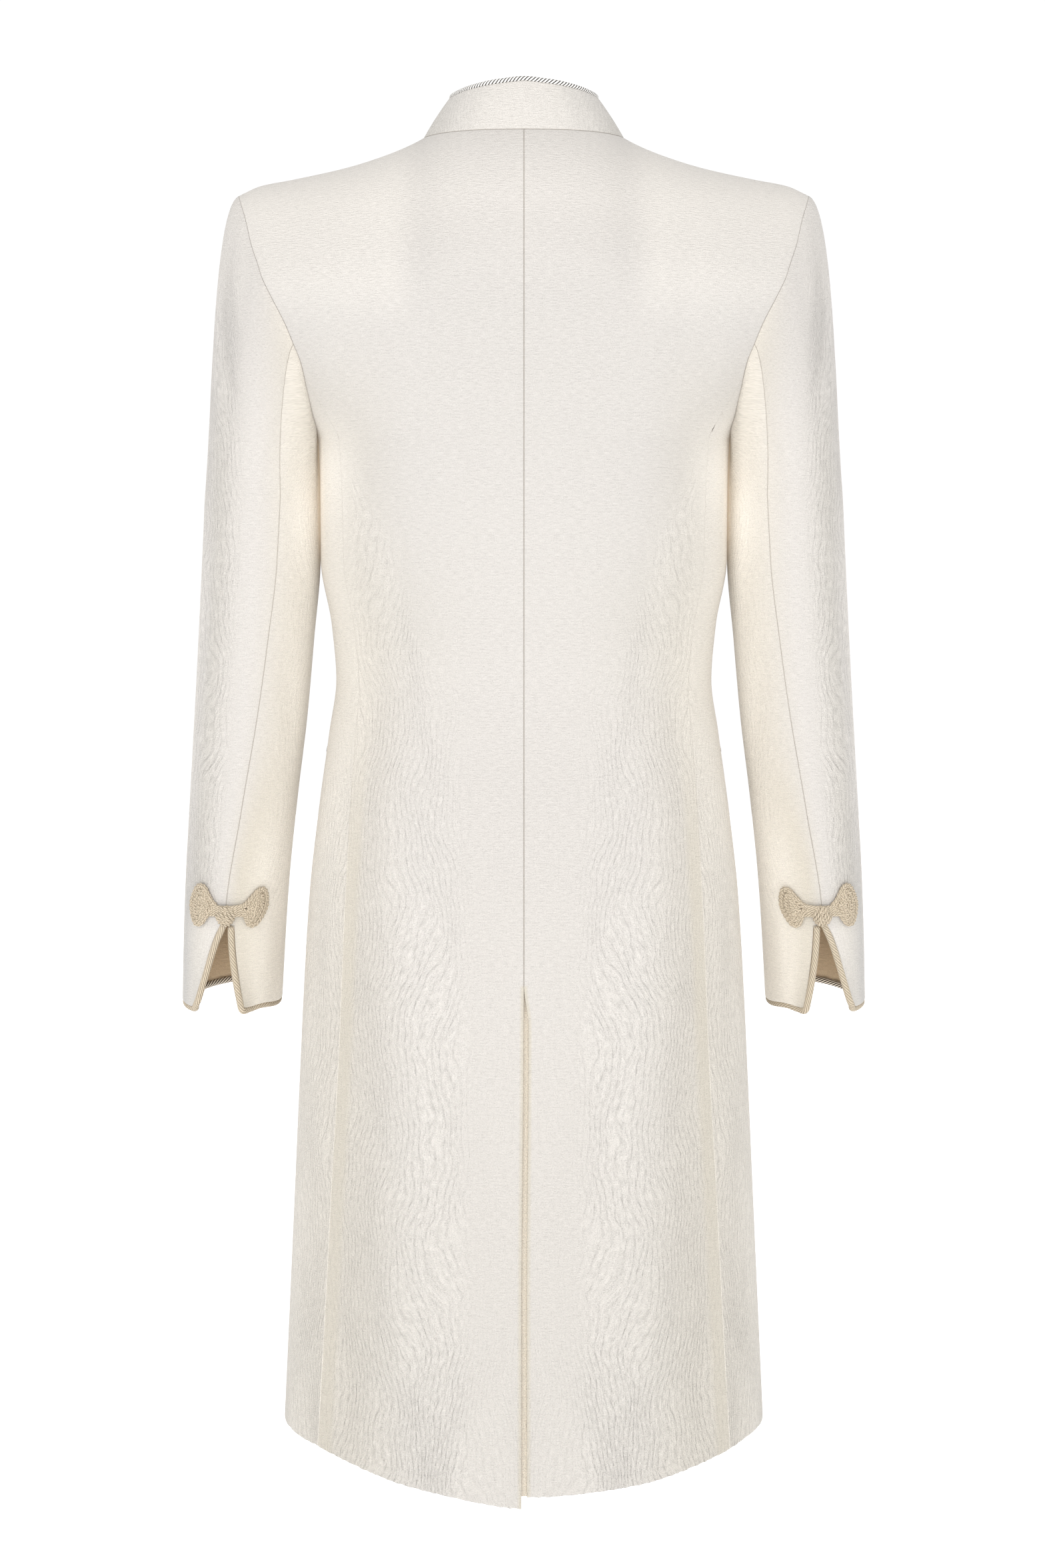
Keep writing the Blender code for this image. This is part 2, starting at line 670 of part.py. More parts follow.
def build_sleeves():
    top, under = sleeve_pieces()
    shape_cuff(top, under)
    directions = sleeve_normals(top, under)
    for name, grid, normals in (("sleeve_top", top, directions[0]), ("sleeve_under", under, directions[1])):
        pull_in(grid, columns=(0, -1), rows=(0,))
        inner = inner_face(grid, normals)
        for hand, outside, inside in (("left", grid, inner), ("right", flipped(grid), flipped(inner))):
            vertices, faces = shell(outside, inside, whole(grid))
            add_object(name + "_" + hand, vertices, faces, "jacquard")
    return top, under


# Collar: how far its top lies inside its base, and how high above it, round the neck
Collar = namedtuple("Collar", "angle inward height")
COLLAR = [
    Collar(0.0, 0.0150, 0.0360),
    Collar(90.0, 0.0190, 0.0290),
    Collar(130.0, 0.0120, 0.0310),
    Collar(180.0, 0.0040, 0.0340),
]
COLLAR_ROWS = 4
COLLAR_CURVE = 0.15
NECK_AXIS_Z = -0.05
collar_inward = smooth(COLLAR, "angle", "inward")
collar_height = smooth(COLLAR, "angle", "height")


def collar_base():
    """The neckline's points from the centre of the back round the wearer's left to the front edge."""
    points = []
    for index in range(NECK_CELLS + 1):
        x, z = top_edge(index, 1)
        points.append((x, body_y(x, z, 1), z))
    for index in range(NECK_CELLS - 1, 0, -1):
        x, z = top_edge(index, -1)
        points.append((x, body_y(x, z, -1), z))
    x = COLLAR_FRONT_GAP
    z = neckline_z(x, -1)
    points.append((x, body_y(x, z, -1), z))
    return np.array(points)


def collar_grid():
    base = collar_base()
    half = []
    for place, point in enumerate(base):
        angle = 180.0 * place / (len(base) - 1)
        flat = np.array([point[0], point[1], 0.0])
        inward = -flat / np.linalg.norm(flat)
        column = []
        for row in range(COLLAR_ROWS + 1):
            part = row / COLLAR_ROWS
            lean = collar_inward(angle) * part * (1 - COLLAR_CURVE * (1 - part))
            clear = GAP / 2 + COLLAR_FRONT_CLEARANCE * (angle / 180) ** 4
            rise = clear + (collar_height(angle) - clear) * part
            column.append(point + inward * lean + np.array([0.0, 0.0, rise]))
        half.append(column)
    half = np.array(half)
    half[-1, :, 0] = COLLAR_FRONT_GAP
    return np.concatenate([flipped(half[:0:-1]), half])


def neck_axis(points):
    centre = points.copy()
    centre[..., 0] = 0
    centre[..., 1] = 0
    centre[..., 2] = NECK_AXIS_Z
    return centre


def build_collar():
    grid = collar_grid()
    mask = whole(grid)
    normals = outer_normals(grid, neck_axis, mask)
    vertices, faces = wall(grid, normals, mask)
    add_object("collar", vertices, faces, "jacquard")
    return grid, normals


def tube(path, radius, sides):
    """A closed round tube along a path of points."""
    path = np.array(path)
    vertices, faces = [], []
    side_direction = None
    for i in range(len(path)):
        along = path[min(i + 1, len(path) - 1)] - path[max(i - 1, 0)]
        along /= np.linalg.norm(along)
        if side_direction is None:
            start = np.array([0.0, 0.0, 1.0]) if abs(along[2]) < 0.8 else np.array([0.0, 1.0, 0.0])
            side_direction = np.cross(along, start)
        side_direction = side_direction - along * (side_direction @ along)
        side_direction /= np.linalg.norm(side_direction)
        other = np.cross(along, side_direction)
        for k in range(sides):
            turn = 2 * math.pi * k / sides
            vertices.append(path[i] + radius * (math.cos(turn) * side_direction + math.sin(turn) * other))
    for i in range(len(path) - 1):
        for k in range(sides):
            after = (k + 1) % sides
            faces.append([i * sides + k, i * sides + after, (i + 1) * sides + after, (i + 1) * sides + k])
    faces.append(list(range(sides))[::-1])
    faces.append([len(vertices) - sides + k for k in range(sides)])
    return vertices, faces


def edge_route(points, normals, outwards):
    """Places for a rope's centre just past a cloth edge, in the middle of the cloth's thickness."""
    reach = ROPE_RADIUS + ROPE_CLEARANCE
    return points - normals * CLOTH / 2 + outwards * reach


def build_collar_rope(grid, normals):
    outwards = grid[:, -1] - grid[:, -2]
    outwards /= np.linalg.norm(outwards, axis=1)[:, None]
    route = edge_route(grid[:, -1], normals[:, -1], outwards)
    vertices, faces = tube(route, ROPE_RADIUS, ROPE_SIDES)
    add_object("piping_collar", vertices, faces, "collar_rope")


def cuff_route(top, under):
    """The rope's way round the left cuff: down one side of the slit, round the hem and up the other."""
    apex = SLEEVE_LEVELS.index(CUFF_APEX_Z) + CAP_ROWS
    route = []
    of_top, of_under = sleeve_normals(top, under)
    for grid, normals, edge, inner in ((top, of_top, -1, -2), (under, of_under, 0, 1)):
        aside = grid[edge, apex:] - grid[inner, apex:]
        aside /= np.linalg.norm(aside, axis=1)[:, None]
        slit = edge_route(grid[edge, apex:], normals[edge, apex:], aside)
        down = grid[:, -1] - grid[:, -2]
        down /= np.linalg.norm(down, axis=1)[:, None]
        hem = edge_route(grid[:, -1], normals[:, -1], down)
        hem[edge] += aside[-1] * (ROPE_RADIUS + ROPE_CLEARANCE)
        if edge == -1:
            route.append(np.vstack([slit[:-1], hem[::-1]]))
        else:
            route.append(np.vstack([hem[::-1], slit[:-1][::-1]]))
    return np.vstack([route[0][:-1], route[1]])


def build_cuff_ropes(top, under):
    route = cuff_route(top, under)
    for hand, path in (("left", route), ("right", flipped(route))):
        vertices, faces = tube(path, ROPE_RADIUS, ROPE_SIDES)
        add_object("piping_cuff_" + hand, vertices, faces, "rope")


def cuff_surface(angle, level, lift):
    """A point over the left sleeve's outer face, raised by lift."""
    point = sleeve_ring(angle, level)
    step = 0.5
    around = sleeve_ring(angle + step, level) - sleeve_ring(angle - step, level)
    down = sleeve_ring(angle, level - 0.002) - sleeve_ring(angle, level + 0.002)
    normal = np.cross(down, around)
    normal /= np.linalg.norm(normal)
    if normal @ (point - np.array([(sleeve_outer(level) + sleeve_inner(level)) / 2,
                                   sleeve_centre_y(level), level])) < 0:
        normal = -normal
    return point + normal * lift


# Frog: centre and half size of each piece, in degrees round the sleeve and metres down it
Frog = namedtuple("Frog", "name angle level half_angle half_height lift")
FROGS = [
    Frog("frog_lobe_outer", 55.5, -0.5700, 16.0, 0.0176, 0.0036),
    Frog("frog_lobe_inner", 115.3, -0.5712, -15.7, 0.0162, 0.0036),
    Frog("frog_knot", 85.3, -0.5740, 12.6, 0.0078, 0.0058),
]
FROG_ACROSS = 9
FROG_DOWN = 6
FROG_BASE = 0.0007
FROG_EDGE = 0.0016
FROG_RIDGE = 0.0004
FROG_SIDE_CURVE = 0.12
FROG_END_DROP = 0.5

# Half height of a frog lobe from its free end (-1) to the knot (1)
FrogShape = namedtuple("FrogShape", "place lobe knot")
FROG_SHAPE = [
    FrogShape(-1.0, 0.34, 0.45),
    FrogShape(-0.8, 0.78, 0.80),
    FrogShape(-0.4, 1.00, 0.98),
    FrogShape(0.0, 0.92, 1.00),
    FrogShape(0.4, 0.62, 0.98),
    FrogShape(0.8, 0.33, 0.80),
    FrogShape(1.0, 0.27, 0.45),
]
lobe_shape = smooth(FROG_SHAPE, "place", "lobe")
knot_shape = smooth(FROG_SHAPE, "place", "knot")


def build_frogs():
    """Lobes and knots of braided rope lying on the sleeves, domed, with the rows of braid as low ridges."""
    for piece in FROGS:
        shape = knot_shape if piece.name == "frog_knot" else lobe_shape
        upper, lower = [], []
        for i in range(FROG_ACROSS + 1):
            across = 2 * i / FROG_ACROSS - 1
            above, below = [], []
            for j in range(FROG_DOWN + 1):
                down = 2 * j / FROG_DOWN - 1
                angle = piece.angle + piece.half_angle * across * (1 - FROG_SIDE_CURVE * down * down)
                level = piece.level + piece.half_height * shape(across) * down
                dome = (1 - down * down) * (1 - FROG_END_DROP * across * across)
                ridges = FROG_RIDGE * math.cos(math.pi * j) * (1 if 0 < i < FROG_ACROSS else 0)
                above.append(cuff_surface(angle, level, FROG_EDGE + FROG_BASE + ridges + piece.lift * dome))
                below.append(cuff_surface(angle, level, FROG_BASE))
            upper.append(above)
            lower.append(below)
        upper, lower = np.array(upper), np.array(lower)
        for hand, outside, inside in (("left", upper, lower), ("right", flipped(upper), flipped(lower))):
            vertices, faces = shell(outside, inside, whole(upper))
            add_object(piece.name + "_" + hand, vertices, faces, "rope")


# Pockets: a rope laid round each pocket's mouth, whose back end just reaches the side line
POCKET_BACK_ANGLE = -15.0
POCKET_FRONT_ANGLE = -62.0
POCKET_Z = -0.4575
POCKET_HALF_MOUTH = 0.0036
POCKET_CELLS = 9
POCKET_TURN_CELLS = 4
POCKET_TURN_REACH = 1.4
POCKET_LIFT = ROPE_RADIUS + ROPE_CLEARANCE + 0.0003


def front_point(angle, z, lift):
    """A point over the front of the body at an angle forward of the side line, raised by lift."""
    point = body_point(angle, z, -1)
    along = body_point(angle + 1.0, z, -1) - body_point(angle - 1.0, z, -1)
    normal = np.array([along[1], -along[0], 0.0])
    normal /= np.linalg.norm(normal)
    if normal @ point < 0:
        normal = -normal
    return point + normal * lift


def build_pockets():
    along = np.linspace(POCKET_FRONT_ANGLE, POCKET_BACK_ANGLE, POCKET_CELLS + 1)
    places = [(angle, POCKET_HALF_MOUTH) for angle in along]
    turn_angle = math.degrees(POCKET_HALF_MOUTH / half_width(POCKET_Z)) * POCKET_TURN_REACH
    for index in range(1, POCKET_TURN_CELLS):
        turn = math.pi * index / POCKET_TURN_CELLS
        places.append((POCKET_BACK_ANGLE + turn_angle * math.sin(turn), POCKET_HALF_MOUTH * math.cos(turn)))
    places += [(angle, -POCKET_HALF_MOUTH) for angle in along[::-1]]
    route = np.array([front_point(-angle, POCKET_Z + rise, POCKET_LIFT) for angle, rise in places])
    for hand, path in (("left", route), ("right", flipped(route))):
        vertices, faces = tube(path, ROPE_RADIUS, ROPE_SIDES)
        add_object("pocket_rope_" + hand, vertices, faces, "rope")


def main():
    for thing in list(bpy.data.objects):
        bpy.data.objects.remove(thing, do_unlink=True)
    build_back_left()
    build_back_right()
    build_sides()
    build_fronts()
    top, under = build_sleeves()
    collar, collar_normals = build_collar()
    build_collar_rope(collar, collar_normals)
    build_cuff_ropes(top, under)
    build_frogs()
    build_pockets()


main()
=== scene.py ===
"""Looks of the coat dress: crinkled ivory jacquard, rope piping, braided frogs and a back vent.

Metres, +Z up, the back faces +Y and the wearer's left is +X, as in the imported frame.
"""
import math
from collections import namedtuple

import bpy
import numpy as np
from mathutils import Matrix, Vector


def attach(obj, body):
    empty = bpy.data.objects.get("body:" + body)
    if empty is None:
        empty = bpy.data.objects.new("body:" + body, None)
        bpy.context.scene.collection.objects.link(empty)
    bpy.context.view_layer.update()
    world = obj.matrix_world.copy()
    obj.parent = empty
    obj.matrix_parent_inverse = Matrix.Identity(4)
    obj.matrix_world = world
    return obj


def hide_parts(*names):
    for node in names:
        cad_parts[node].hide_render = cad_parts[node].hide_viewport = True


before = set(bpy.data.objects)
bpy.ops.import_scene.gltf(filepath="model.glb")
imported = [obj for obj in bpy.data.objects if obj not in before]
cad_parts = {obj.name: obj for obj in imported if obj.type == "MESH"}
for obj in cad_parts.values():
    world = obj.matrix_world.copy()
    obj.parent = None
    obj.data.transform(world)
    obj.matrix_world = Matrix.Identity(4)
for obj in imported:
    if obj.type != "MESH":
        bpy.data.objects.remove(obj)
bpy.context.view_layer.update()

# Camera, at the height of the wearer's lower back and behind the garment
CAMERA_PLACE = (0.001, 2.2, -0.23)
CAMERA_DOWN_DEG = 6.5
CAMERA_SENSOR = 36.0
CAMERA_LENS = 66.98

# Floor under a wearer who stands, and a backdrop beyond the camera of every view
FLOOR_Z = -1.50
FLOOR_SIZE = 80.0
WALL_Y = -8.0
WALL_TOP_Z = 21.0

# Cloth and seams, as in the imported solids
CLOTH = 0.0019
GAP = 0.00006
SQUARENESS = 2.4
NECK_HALF_WIDTH = 0.0742
NECK_DROP_FRONT = 0.075
BACK_ROLL = 0.12
FRONT_ROLL = 0.20
HEM_Z = -0.970
HEM_BACK_RISE = 0.0060
HEM_RISE_DEPTH = 0.060
SHOULDER_TIP_X = 0.2110
SHOULDER_TIP_Z = -0.0415
BACK_JOIN_Z = -0.1764
FRONT_JOIN_Z = -0.190
CHEST_Z = -0.262
VENT_TOP_Z = -0.6137
NECK_CELLS = 4
PANEL_CELLS = 9
SIDE_CELLS = 8
YOKE_CELLS = 9
SHOULDER_FADE = 0.3
UNDERLAP_DEPTH = 0.0026
VENT_UNDERLAP = 0.040
VENT_FOLD_LEFT = (0.0003, 0.0018)
VENT_FOLD_RIGHT = (0.0034, 0.0022)
FRONT_OVERLAP = 0.015
FRONT_STEP_START = 0.0004
FRONT_STEP_END = 0.0032

Hem = namedtuple("Hem", "dip reach power")
HEM_LEFT = Hem(0.0285, 0.155, 1.3)
HEM_RIGHT = Hem(0.0200, 0.165, 1.9)

Body = namedtuple("Body", "z half_width back front")
BODY = [
    Body(0.040, 0.2250, 0.0980, 0.0600),
    Body(-0.050, 0.2250, 0.0980, 0.0700),
    Body(-0.100, 0.2250, 0.1040, 0.0900),
    Body(-0.140, 0.2090, 0.1060, 0.1100),
    Body(-0.1764, 0.1817, 0.1060, 0.1190),
    Body(-0.200, 0.1660, 0.1050, 0.1235),
    Body(-0.222, 0.1536, 0.1040, 0.1250),
    Body(-0.260, 0.1525, 0.1000, 0.1240),
    Body(-0.310, 0.1525, 0.0920, 0.1150),
    Body(-0.360, 0.1445, 0.0855, 0.1040),
    Body(-0.400, 0.1415, 0.0840, 0.0980),
    Body(-0.440, 0.1470, 0.0880, 0.0985),
    Body(-0.500, 0.1555, 0.1010, 0.1050),
    Body(-0.560, 0.1625, 0.1130, 0.1100),
    Body(-0.630, 0.1672, 0.1210, 0.1145),
    Body(-0.720, 0.1718, 0.1280, 0.1200),
    Body(-0.840, 0.1778, 0.1395, 0.1290),
    Body(-1.000, 0.1868, 0.1560, 0.1410),
]

Ridge = namedtuple("Ridge", "x z")
RIDGE = [
    Ridge(0.0000, 0.0340),
    Ridge(0.0300, 0.0290),
    Ridge(0.0500, 0.0180),
    Ridge(0.0742, 0.0000),
    Ridge(0.0990, -0.0112),
    Ridge(0.1324, -0.0216),
    Ridge(0.1725, -0.0302),
    Ridge(0.1950, -0.0345),
    Ridge(0.2110, -0.0415),
]

Armhole = namedtuple("Armhole", "z back front")
ARMHOLE = [
    Armhole(-0.0415, 22.1, 22.1),
    Armhole(-0.0600, 27.0, 29.0),
    Armhole(-0.0800, 30.5, 34.0),
    Armhole(-0.1000, 34.5, 38.0),
    Armhole(-0.1200, 37.0, 41.0),
    Armhole(-0.1400, 37.8, 42.0),
    Armhole(-0.1600, 35.7, 40.0),
    Armhole(-0.1764, 31.3, 36.0),
    Armhole(-0.1900, 26.6, 31.0),
    Armhole(-0.2000, 22.5, 27.0),
    Armhole(-0.2146, 13.1, 16.0),
    Armhole(-0.2220, 0.0, 0.0),
]

Seam = namedtuple("Seam", "z back front")
SEAM = [
    Seam(-0.1764, 31.3, 31.0),
    Seam(-0.1900, 31.4, 31.0),
    Seam(-0.3000, 32.5, 30.0),
    Seam(-0.4000, 33.5, 31.0),
    Seam(-0.4800, 36.5, 33.0),
    Seam(-0.5600, 38.8, 35.0),
    Seam(-0.6500, 39.2, 36.0),
    Seam(-0.7800, 37.8, 36.0),
    Seam(-1.0000, 36.7, 36.0),
]

Sleeve = namedtuple("Sleeve", "z outer inner centre_y half_depth")
SLEEVE = [
    Sleeve(-0.200, 0.2345, 0.1530, 0.000, 0.0570),
    Sleeve(-0.262, 0.2390, 0.1528, 0.000, 0.0560),
    Sleeve(-0.310, 0.2418, 0.1531, -0.001, 0.0545),
    Sleeve(-0.370, 0.2457, 0.1586, -0.004, 0.0528),
    Sleeve(-0.430, 0.2500, 0.1646, -0.008, 0.0512),
    Sleeve(-0.490, 0.2546, 0.1726, -0.013, 0.0496),
    Sleeve(-0.550, 0.2592, 0.1796, -0.018, 0.0480),
    Sleeve(-0.600, 0.2620, 0.1838, -0.022, 0.0468),
    Sleeve(-0.660, 0.2644, 0.1880, -0.026, 0.0460),
]
SLEEVE_TOP_Z = -0.262
CUFF_APEX_Z = -0.5850
CUFF_HEM_Z = -0.645
CAP_OUT = 0.058
CAP_BACK = 0.010
CAP_DOWN = 0.024
CAP_ARRIVE_OUT = 0.08
CAP_ARRIVE_BASE = 0.01
CAP_ARRIVE_DOWN = 0.95
CAP_SEAM_Z = -0.1428
UNDERARM_SEAM_ANGLE = 228.0

SleeveSeam = namedtuple("SleeveSeam", "z back front")
SLEEVE_SEAM = [
    SleeveSeam(-0.262, 114.0, 228.0),
    SleeveSeam(-0.373, 107.0, 228.0),
    SleeveSeam(-0.500, 94.0, 228.0),
    SleeveSeam(-0.5807, 84.5, 228.0),
    SleeveSeam(-0.660, 84.0, 228.0),
]
SLIT_OUTER_APEX = 3.0
SLIT_INNER_APEX = 11.0
SLIT_OUTER_HEM = 31.5
SLIT_INNER_HEM = 26.6
SLIT_OUTER_POWER = 0.64
SLIT_INNER_POWER = 1.50
SLIT_CURL = 0.005
SLIT_CURL_REACH = 0.010
OUTER_CORNER_RISE = 0.0078
INNER_CORNER_RISE = 0.0026
CORNER_REACH = 0.009
CUFF_TILT = 0.10
CUFF_SIDE_DROP = 0.0036
INNER_FLAP_RISE = 0.0030
HEM_ROPE_TUCK = 0.0018
HEM_ROPE_LIFT = 0.0006

Collar = namedtuple("Collar", "angle inward height")
COLLAR = [
    Collar(0.0, 0.0150, 0.0360),
    Collar(90.0, 0.0190, 0.0290),
    Collar(130.0, 0.0120, 0.0310),
    Collar(180.0, 0.0040, 0.0340),
]
COLLAR_CURVE = 0.15
COLLAR_FRONT_GAP = 0.004
COLLAR_FRONT_CLEARANCE = 0.0012

# Ropes, which all but touch the edges that they bind
ROPE_RADIUS = 0.0025
COLLAR_ROPE_RADIUS = 0.0020
ROPE_CLEARANCE = 0.0002
COLLAR_ROPE_LEAD = 0.0104
CUFF_ROPE_LEAD = 0.0215

# The wearer's sides, and whether a piece there is the left one's mirror image
HANDS = (("left", False), ("right", True))

# Fine cells of the cloth, in metres, and coarser ones where it is plain
CELL = 0.0021
SIDE_CELL = 0.0026
FRONT_CELL = 0.0030
INNER_EVERY = 4
EDGE_STATIONS = (0.0004, 0.0011)
EDGE_SINK = (0.00022, 0.00006, 0.0)


def smooth(rows, key, value):
    """A rounded curve through a table's rows that doesn't overshoot between them."""
    pairs = sorted((getattr(row, key), getattr(row, value)) for row in rows)
    xs = np.array([pair[0] for pair in pairs])
    ys = np.array([pair[1] for pair in pairs])
    steps = np.diff(xs)
    slopes = np.diff(ys) / steps
    tangents = np.zeros(len(xs))
    tangents[0] = slopes[0]
    tangents[-1] = slopes[-1]
    for i in range(1, len(xs) - 1):
        if slopes[i - 1] * slopes[i] > 0:
            first = 2 * steps[i] + steps[i - 1]
            second = steps[i] + 2 * steps[i - 1]
            tangents[i] = (first + second) / (first / slopes[i - 1] + second / slopes[i])

    def curve(x):
        x = np.clip(x, xs[0], xs[-1])
        i = np.clip(np.searchsorted(xs, x) - 1, 0, len(steps) - 1)
        u = (x - xs[i]) / steps[i]
        rise = (3 - 2 * u) * u * u
        enter = u * (1 - u) ** 2 * steps[i] * tangents[i]
        leave = u * u * (u - 1) * steps[i] * tangents[i + 1]
        return ys[i] * (1 - rise) + ys[i + 1] * rise + enter + leave

    return curve


half_width = smooth(BODY, "z", "half_width")
back_depth = smooth(BODY, "z", "back")
front_depth = smooth(BODY, "z", "front")
ridge = smooth(RIDGE, "x", "z")
armhole_angle = {1: smooth(ARMHOLE, "z", "back"), -1: smooth(ARMHOLE, "z", "front")}
seam_angle = {1: smooth(SEAM, "z", "back"), -1: smooth(SEAM, "z", "front")}
sleeve_outer = smooth(SLEEVE, "z", "outer")
sleeve_inner = smooth(SLEEVE, "z", "inner")
sleeve_centre_y = smooth(SLEEVE, "z", "centre_y")
sleeve_half_depth = smooth(SLEEVE, "z", "half_depth")
sleeve_seam = {1: smooth(SLEEVE_SEAM, "z", "back"), -1: smooth(SLEEVE_SEAM, "z", "front")}
collar_inward = smooth(COLLAR, "angle", "inward")
collar_height = smooth(COLLAR, "angle", "height")
JOIN_Z = {1: BACK_JOIN_Z, -1: FRONT_JOIN_Z}
lower_armhole = {
    1: smooth([row for row in ARMHOLE if row.z <= BACK_JOIN_Z + 1e-6], "back", "z"),
    -1: smooth([row for row in ARMHOLE if row.z <= FRONT_JOIN_Z + 1e-6], "front", "z"),
}


def soft_step(x):
    x = np.clip(x, 0.0, 1.0)
    return x * x * (3 - 2 * x)


def body_x(angle, z):
    return half_width(z) * np.abs(np.cos(np.radians(angle))) ** (2 / SQUARENESS)


def body_y(x, z, side):
    share = np.minimum(np.abs(x) / half_width(z), 1.0)
    section = (1 - share ** SQUARENESS) ** (1 / SQUARENESS)
    depth = back_depth(z) if side > 0 else front_depth(z)
    roll = BACK_ROLL if side > 0 else FRONT_ROLL
    down = np.clip((ridge(np.abs(x)) - z) / roll, 0.0, 1.0)
    return side * depth * section * np.sqrt(1 - (1 - down) ** 2)


def neckline_z(x, side):
    if side > 0:
        return np.zeros_like(x)
    return -NECK_DROP_FRONT * (1 - np.minimum(np.abs(x) / NECK_HALF_WIDTH, 1.0) ** 2) ** 0.6


def top_edge(index, side):
    neck_x = NECK_HALF_WIDTH * np.sin(0.5 * math.pi * np.minimum(index, NECK_CELLS) / NECK_CELLS)
    share = (index - NECK_CELLS) / (PANEL_CELLS - NECK_CELLS)
    shoulder_x = NECK_HALF_WIDTH + (SHOULDER_TIP_X - NECK_HALF_WIDTH) * share
    on_neck = index <= NECK_CELLS
    x = np.where(on_neck, neck_x, shoulder_x)
    return x, np.where(on_neck, neckline_z(x, side), ridge(x))


def hem_z(x, y, hem):
    rise = HEM_BACK_RISE * np.clip(y / HEM_RISE_DEPTH, 0.0, 1.0)
    dip = hem.dip * np.maximum(1 - (np.abs(x) / hem.reach) ** hem.power, 0.0)
    return np.where(y <= 0, HEM_Z, HEM_Z + rise - dip)


def spread(length, cell=CELL):
    return max(int(round(length / cell)), 2)


def row_plan(join, cell):
    """Shares of the way down the yoke, the chest and the skirt, in fine steps."""
    yoke = np.linspace(0, 1, spread(SHOULDER_TIP_Z - join + 0.06, cell) + 1)
    chest = np.linspace(0, 1, spread(join - CHEST_Z, cell) + 1)[1:]
    skirt = np.linspace(0, 1, spread(CHEST_Z - HEM_Z, cell) + 1)[1:]
    return yoke, chest, skirt


def panel(side, hem, index=None, x=None, cell=CELL):
    """Fine columns of a front or back panel, by index from centre to side or by their own x."""
    join = JOIN_Z[side]
    yoke, chest, skirt = row_plan(join, cell)
    by_x = x is not None
    columns = (np.asarray(x, float) if by_x else np.asarray(index, float))[:, None]
    if by_x:
        top_x = np.abs(columns)
        top_z = neckline_z(top_x, side)
    else:
        top_x, top_z = top_edge(columns, side)
    # Even rows below the neckline, and close ones where the cloth rolls off the shoulder
    on_neck = np.clip(1 - (top_x / NECK_HALF_WIDTH) ** 2, 0.0, 1.0)
    fall = (1 - on_neck) * (1 - np.cos(0.5 * math.pi * yoke)[None]) + on_neck * yoke[None]
    yoke = np.arccos(1 - fall) * 2 / math.pi
    z_yoke = top_z + (join - top_z) * fall
    if by_x:
        x_yoke = columns + 0 * z_yoke
    else:
        edge_z = SHOULDER_TIP_Z + (join - SHOULDER_TIP_Z) * fall
        edge_x = body_x(armhole_angle[side](edge_z), edge_z)
        turn = seam_angle[side](join) - 90
        at_join = body_x(90 + turn * columns / PANEL_CELLS, join) / body_x(90 + turn, join)
        x_yoke = edge_x * ((1 - yoke) * top_x / SHOULDER_TIP_X + yoke * at_join)
        # A row that moves outwards follows the shoulder line down, except along the armhole
        inner_share = 1 - soft_step((columns - PANEL_CELLS + SHOULDER_FADE) / SHOULDER_FADE)
        z_yoke = z_yoke + inner_share * (ridge(x_yoke) - ridge(top_x)) * (1 - fall)
    z_chest = join + (CHEST_Z - join) * chest[None] + 0 * columns
    level = CHEST_Z + (HEM_Z - CHEST_Z) * skirt[None] + 0 * columns
    if by_x:
        x_chest = columns + 0 * z_chest
        x_skirt = columns + 0 * level
    else:
        x_chest = body_x(90 + (seam_angle[side](z_chest) - 90) * columns / PANEL_CELLS, z_chest)
        x_skirt = body_x(90 + (seam_angle[side](level) - 90) * columns / PANEL_CELLS, level)
    bottom = hem_z(x_skirt, body_y(x_skirt, level, side), hem)
    z_skirt = CHEST_Z + (bottom - CHEST_Z) * skirt[None]
    xs = np.concatenate([x_yoke, x_chest, x_skirt], axis=1)
    zs = np.concatenate([z_yoke, z_chest, z_skirt], axis=1)
    return np.stack([xs, body_y(xs, zs, side), zs], axis=2)


def side_panel(hem):
    """The panel under the arm, from the back seam round to the front seam."""
    rows = spread(SHOULDER_TIP_Z - CHEST_Z - 0.16, SIDE_CELL)
    skirt = np.linspace(0, 1, spread(CHEST_Z - HEM_Z, SIDE_CELL) + 1)[1:]
    columns = []
    for share in np.linspace(1, -1, spread(0.200, SIDE_CELL) + 1):
        side = 1 if share >= 0 else -1
        join = JOIN_Z[side]
        top_angle = abs(share) * seam_angle[side](join)
        top_z = float(lower_armhole[side](top_angle))
        z_chest = top_z + (CHEST_Z - top_z) * np.linspace(0, 1, rows + 1)
        angle_chest = abs(share) * seam_angle[side](np.minimum(z_chest, join))
        angle_chest[0] = top_angle
        x_chest = body_x(angle_chest, z_chest)
        level = CHEST_Z + (HEM_Z - CHEST_Z) * skirt
        x_skirt = body_x(abs(share) * seam_angle[side](level), level)
        bottom = hem_z(x_skirt, body_y(x_skirt, level, side), hem)
        z_skirt = CHEST_Z + (bottom - CHEST_Z) * skirt
        xs = np.concatenate([x_chest, x_skirt])
        zs = np.concatenate([z_chest, z_skirt])
        columns.append(np.stack([xs, body_y(xs, zs, side), zs], axis=1))
    return np.array(columns)


